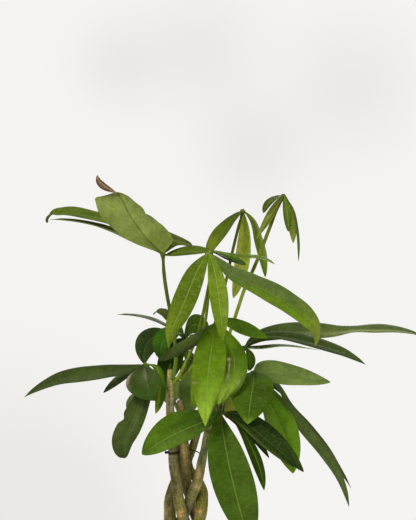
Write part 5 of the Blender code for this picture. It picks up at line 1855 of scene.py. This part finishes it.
# %% [markdown]
# The glaze is one material. The height in Object coordinates places the bare foot and the thin
# glaze at the rim. A wave along the height gives the throwing rings, and a fine noise cut high
# leaves only a few specks.

# %% Build the pot
POT_SIDES = 160
POT_TINT = (0.75, 0.72, 0.66)
GLAZE_GREY, GLAZE_WHITE = (0.70, 0.665, 0.60), (0.77, 0.745, 0.69)
IRON, BUFF, BARE_CLAY = (0.20, 0.13, 0.07), (0.50, 0.37, 0.24), (0.44, 0.33, 0.23)
GLAZED_ROUGH, BARE_ROUGH = (0.34, 0.34, 0.34), (0.85, 0.85, 0.85)
# In metres up: between which heights the bare foot ends, and the glaze thins to buff at the rim.
FOOT_LINE, RIM_LINE = (0.0075, 0.0085), (0.1492, 0.1515)
# The noises of the glaze in waves to the metre, and the throwing rings in radians to the metre.
CLOUD_SCALE, SPECK_SCALE, GRIT_SCALE = 14.0, 420.0, 1500.0
THROWING_RINGS = 950.0
WAVY_EDGE = 0.004
GLAZE_BUMP = 0.0004


def glaze_material():
    """Clouded warm white with specks, buff at the rim and bare clay at the foot."""
    made, tree, shader = new_material("pot")
    skin = object_place(tree)
    split = node(tree, "ShaderNodeSeparateXYZ")
    tree.links.new(skin, split.inputs[0])
    cloud = noise(tree, skin, CLOUD_SCALE, 3.0)
    speck = ramp(tree, noise(tree, skin, SPECK_SCALE, 1.0), 0.73, 0.79)
    up = plus(tree, split.outputs["Z"], times(tree, cloud, WAVY_EDGE))
    bare = ramp(tree, up, *FOOT_LINE, 1.0, 0.0)
    colour = blend(tree, cloud, GLAZE_GREY, GLAZE_WHITE)
    colour = blend(tree, times(tree, speck, 0.65), colour, IRON)
    colour = blend(tree, times(tree, ramp(tree, up, *RIM_LINE), 0.8), colour, BUFF)
    colour = blend(tree, bare, colour, BARE_CLAY)
    rough = times_plus(tree, cloud, 0.10, blend(tree, bare, GLAZED_ROUGH, BARE_ROUGH))
    rings = maths(tree, "SINE", times(tree, up, THROWING_RINGS))
    relief = times_plus(tree, rings, 0.35, times(tree, cloud, 1.2))
    grit = times(tree, times(tree, noise(tree, skin, GRIT_SCALE), bare), 0.6)
    dress_shader(tree, shader, colour, rough, plus(tree, relief, grit), GLAZE_BUMP)
    return made


pot_points = turned(pot_profile(), POT_SIDES)
pot_faces = skin_faces(len(pot_points), POT_SIDES)[:, ::-1]
pot_surface = plain_surface(pot_points.reshape(-1, 3), pot_faces, POT_TINT)
make_piece("fine_pot", pot_surface, glaze_material(), "pot", "pot")
print("pot faces:", len(pot_surface.faces))

# %% [markdown]
# ## The soil
# Peat mixed with a little bark and white perlite, mounded slightly towards the stems and rough with
# crumbs. The surface is a disc whose height is the mound plus ripples of several sizes.

# %% Soil surface
SOIL_MOUND = 4.0
FIT_GAP = 0.3
SOIL_REACH = wall_radius(SOIL_TOP) - POT_WALL - FIT_GAP
# The soil's ripples: their length and height, and how far the rough surface is lowered for them.
SOIL_RIPPLES = ((9, 0.9), (4, 0.6), (1.6, 0.35))
SOIL_LOWERED = 1.4
SOIL_RINGS, SOIL_SIDES = 64, 180
SOIL_EDGE_DEPTH = 12
SOIL_TINT = (0.045, 0.032, 0.022)
SOIL_SPECULAR = 0.2
SOIL_BUMP = 0.0016
# The noises of the soil in waves to the metre.
SOIL_PATCHES, SOIL_GRAINS = 60.0, 480.0


def soil_height(x, y):
    """Mound: top + mound * (1 - (distance / reach)^2), plus ripples 9, 4 and 1.6 mm long."""
    mound = SOIL_TOP + SOIL_MOUND * (1 - (x**2 + y**2) / SOIL_REACH**2)
    rough = 0.0
    for seed, (length, height) in enumerate(SOIL_RIPPLES, start=1):
        rough = rough + height * ripple(x / length, y / length, seed)
    return mound + rough - SOIL_LOWERED


def soil_surface():
    """The rough disc, closed below by a short wall and a flat floor under it."""
    rings = np.linspace(POLE_RADIUS, SOIL_REACH, SOIL_RINGS)
    radius = np.concatenate((rings, (SOIL_REACH, POLE_RADIUS)))[:, None]
    angle = ring_angles(SOIL_SIDES)
    x, y = radius * np.cos(angle), radius * np.sin(angle)
    up = soil_height(x, y)
    up[-2:] = SOIL_TOP - SOIL_EDGE_DEPTH
    points = np.stack([x, y, up], axis=-1).reshape(-1, 3)
    return plain_surface(points, skin_faces(len(radius), SOIL_SIDES)[:, ::-1], SOIL_TINT)


def soil_material():
    """The tint in dark and light patches and grains, over a rough matt skin."""
    made, tree, shader = new_material("soil")
    skin = object_place(tree)
    patch = noise(tree, skin, SOIL_PATCHES, 6.0)
    grain = noise(tree, skin, SOIL_GRAINS, 4.0)
    patches = ramp(tree, patch, 0.3, 0.7, 0.55, 1.25)
    shade = times(tree, patches, ramp(tree, grain, 0.3, 0.7, 0.6, 1.3))
    colour = blend(tree, 1.0, attribute(tree, "tint"), shade, "MULTIPLY")
    rough = ramp(tree, grain, 0.3, 0.7, 0.98, 0.80)
    relief = plus(tree, grain, times(tree, patch, 0.6))
    dress_shader(tree, shader, colour, rough, relief, SOIL_BUMP)
    shader.inputs["Specular IOR Level"].default_value = SOIL_SPECULAR
    return made


SOIL = soil_material()
soil = make_piece("fine_soil", soil_surface(), SOIL, "soil", "soil")
print("soil faces:", len(soil.data.polygons))

# %% [markdown]
# ## Loose crumbs
# Crumbs of peat and a few of perlite are scattered over the soil. Each is a little ball of twenty
# faces, squashed and turned by seeded random numbers, and all of them are one array.

# %% Crumbs on the soil
PEAT = ((0.040, 0.026, 0.017), (0.065, 0.042, 0.026), (0.030, 0.021, 0.015), (0.11, 0.07, 0.04))
PERLITE = ((0.62, 0.60, 0.56), (0.70, 0.68, 0.64))
# How many crumbs there are of each, and their usual radius.
PEAT_CRUMBS, PEAT_SIZE = 420, 1.5
PERLITE_CRUMBS, PERLITE_SIZE = 60, 1.25
BALL_CORNERS = 12
CRUMBS_REACH = 0.95
CRUMBS_LIFT = 0.15


def ball():
    """The twelve corners of an icosahedron, from the golden ratio, and its twenty faces."""
    g = (1 + 5**0.5) / 2
    corners = [
        (-1, g, 0), (1, g, 0), (-1, -g, 0), (1, -g, 0), (0, -1, g), (0, 1, g), (0, -1, -g),
        (0, 1, -g), (g, 0, -1), (g, 0, 1), (-g, 0, -1), (-g, 0, 1),
    ]
    faces = [
        (0, 11, 5), (0, 5, 1), (0, 1, 7), (0, 7, 10), (0, 10, 11), (1, 5, 9), (5, 11, 4),
        (11, 10, 2), (10, 7, 6), (7, 1, 8), (3, 9, 4), (3, 4, 2), (3, 2, 6), (3, 6, 8),
        (3, 8, 9), (4, 9, 5), (2, 4, 11), (6, 2, 10), (8, 6, 7), (9, 8, 1),
    ]
    return unit(np.array(corners, float)), np.array(faces)


def crumbs(count, size, tints, seed):
    """Each crumb: the ball times its own three sizes, turned about the upright axis, set on the soil."""
    rng = np.random.default_rng(seed)
    corners, faces = ball()
    away = SOIL_REACH * CRUMBS_REACH * np.sqrt(rng.random(count))
    turn = 2 * np.pi * rng.random(count)
    x, y = away * np.cos(turn), away * np.sin(turn)
    sizes = size * rng.uniform(0.5, 1.4, (count, 1, 1)) * rng.uniform(0.6, 1.2, (count, 1, 3))
    shape = corners[None] * sizes * rng.uniform(0.8, 1.15, (count, BALL_CORNERS, 1))
    spin = 2 * np.pi * rng.random((count, 1))
    across = shape[..., 0] * np.cos(spin) - shape[..., 1] * np.sin(spin) + x[:, None]
    back = shape[..., 0] * np.sin(spin) + shape[..., 1] * np.cos(spin) + y[:, None]
    up = shape[..., 2] + (soil_height(x, y) + CRUMBS_LIFT * size)[:, None]
    points = np.stack([across, back, up], axis=-1).reshape(-1, 3)
    tint = np.repeat(np.array(tints)[rng.integers(0, len(tints), count)], BALL_CORNERS, axis=0)
    starts = BALL_CORNERS * np.arange(count)[:, None, None]
    return plain_surface(points, (faces[None] + starts).reshape(-1, 3), tint)


peat = crumbs(PEAT_CRUMBS, PEAT_SIZE, PEAT, 11)
perlite = crumbs(PERLITE_CRUMBS, PERLITE_SIZE, PERLITE, 12)
loose = joined([peat, perlite])
make_piece("soil_crumbs", loose, SOIL, "soil")
print("crumbs:", PEAT_CRUMBS + PERLITE_CRUMBS, "faces:", len(loose.faces))

# %% [markdown]
# ## The size
# The looks must not outgrow the solids. The box of the frame and the box of what is shown now are
# printed side by side.

# %% Print both boxes
shown_box = [list(corner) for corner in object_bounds()]
for axis, *ends in zip("xyz", *cad_box, *shown_box):
    low, high, shown_low, shown_high = (round(end / MM, 1) for end in ends)
    print(axis, "frame", low, high, "shown", shown_low, shown_high)
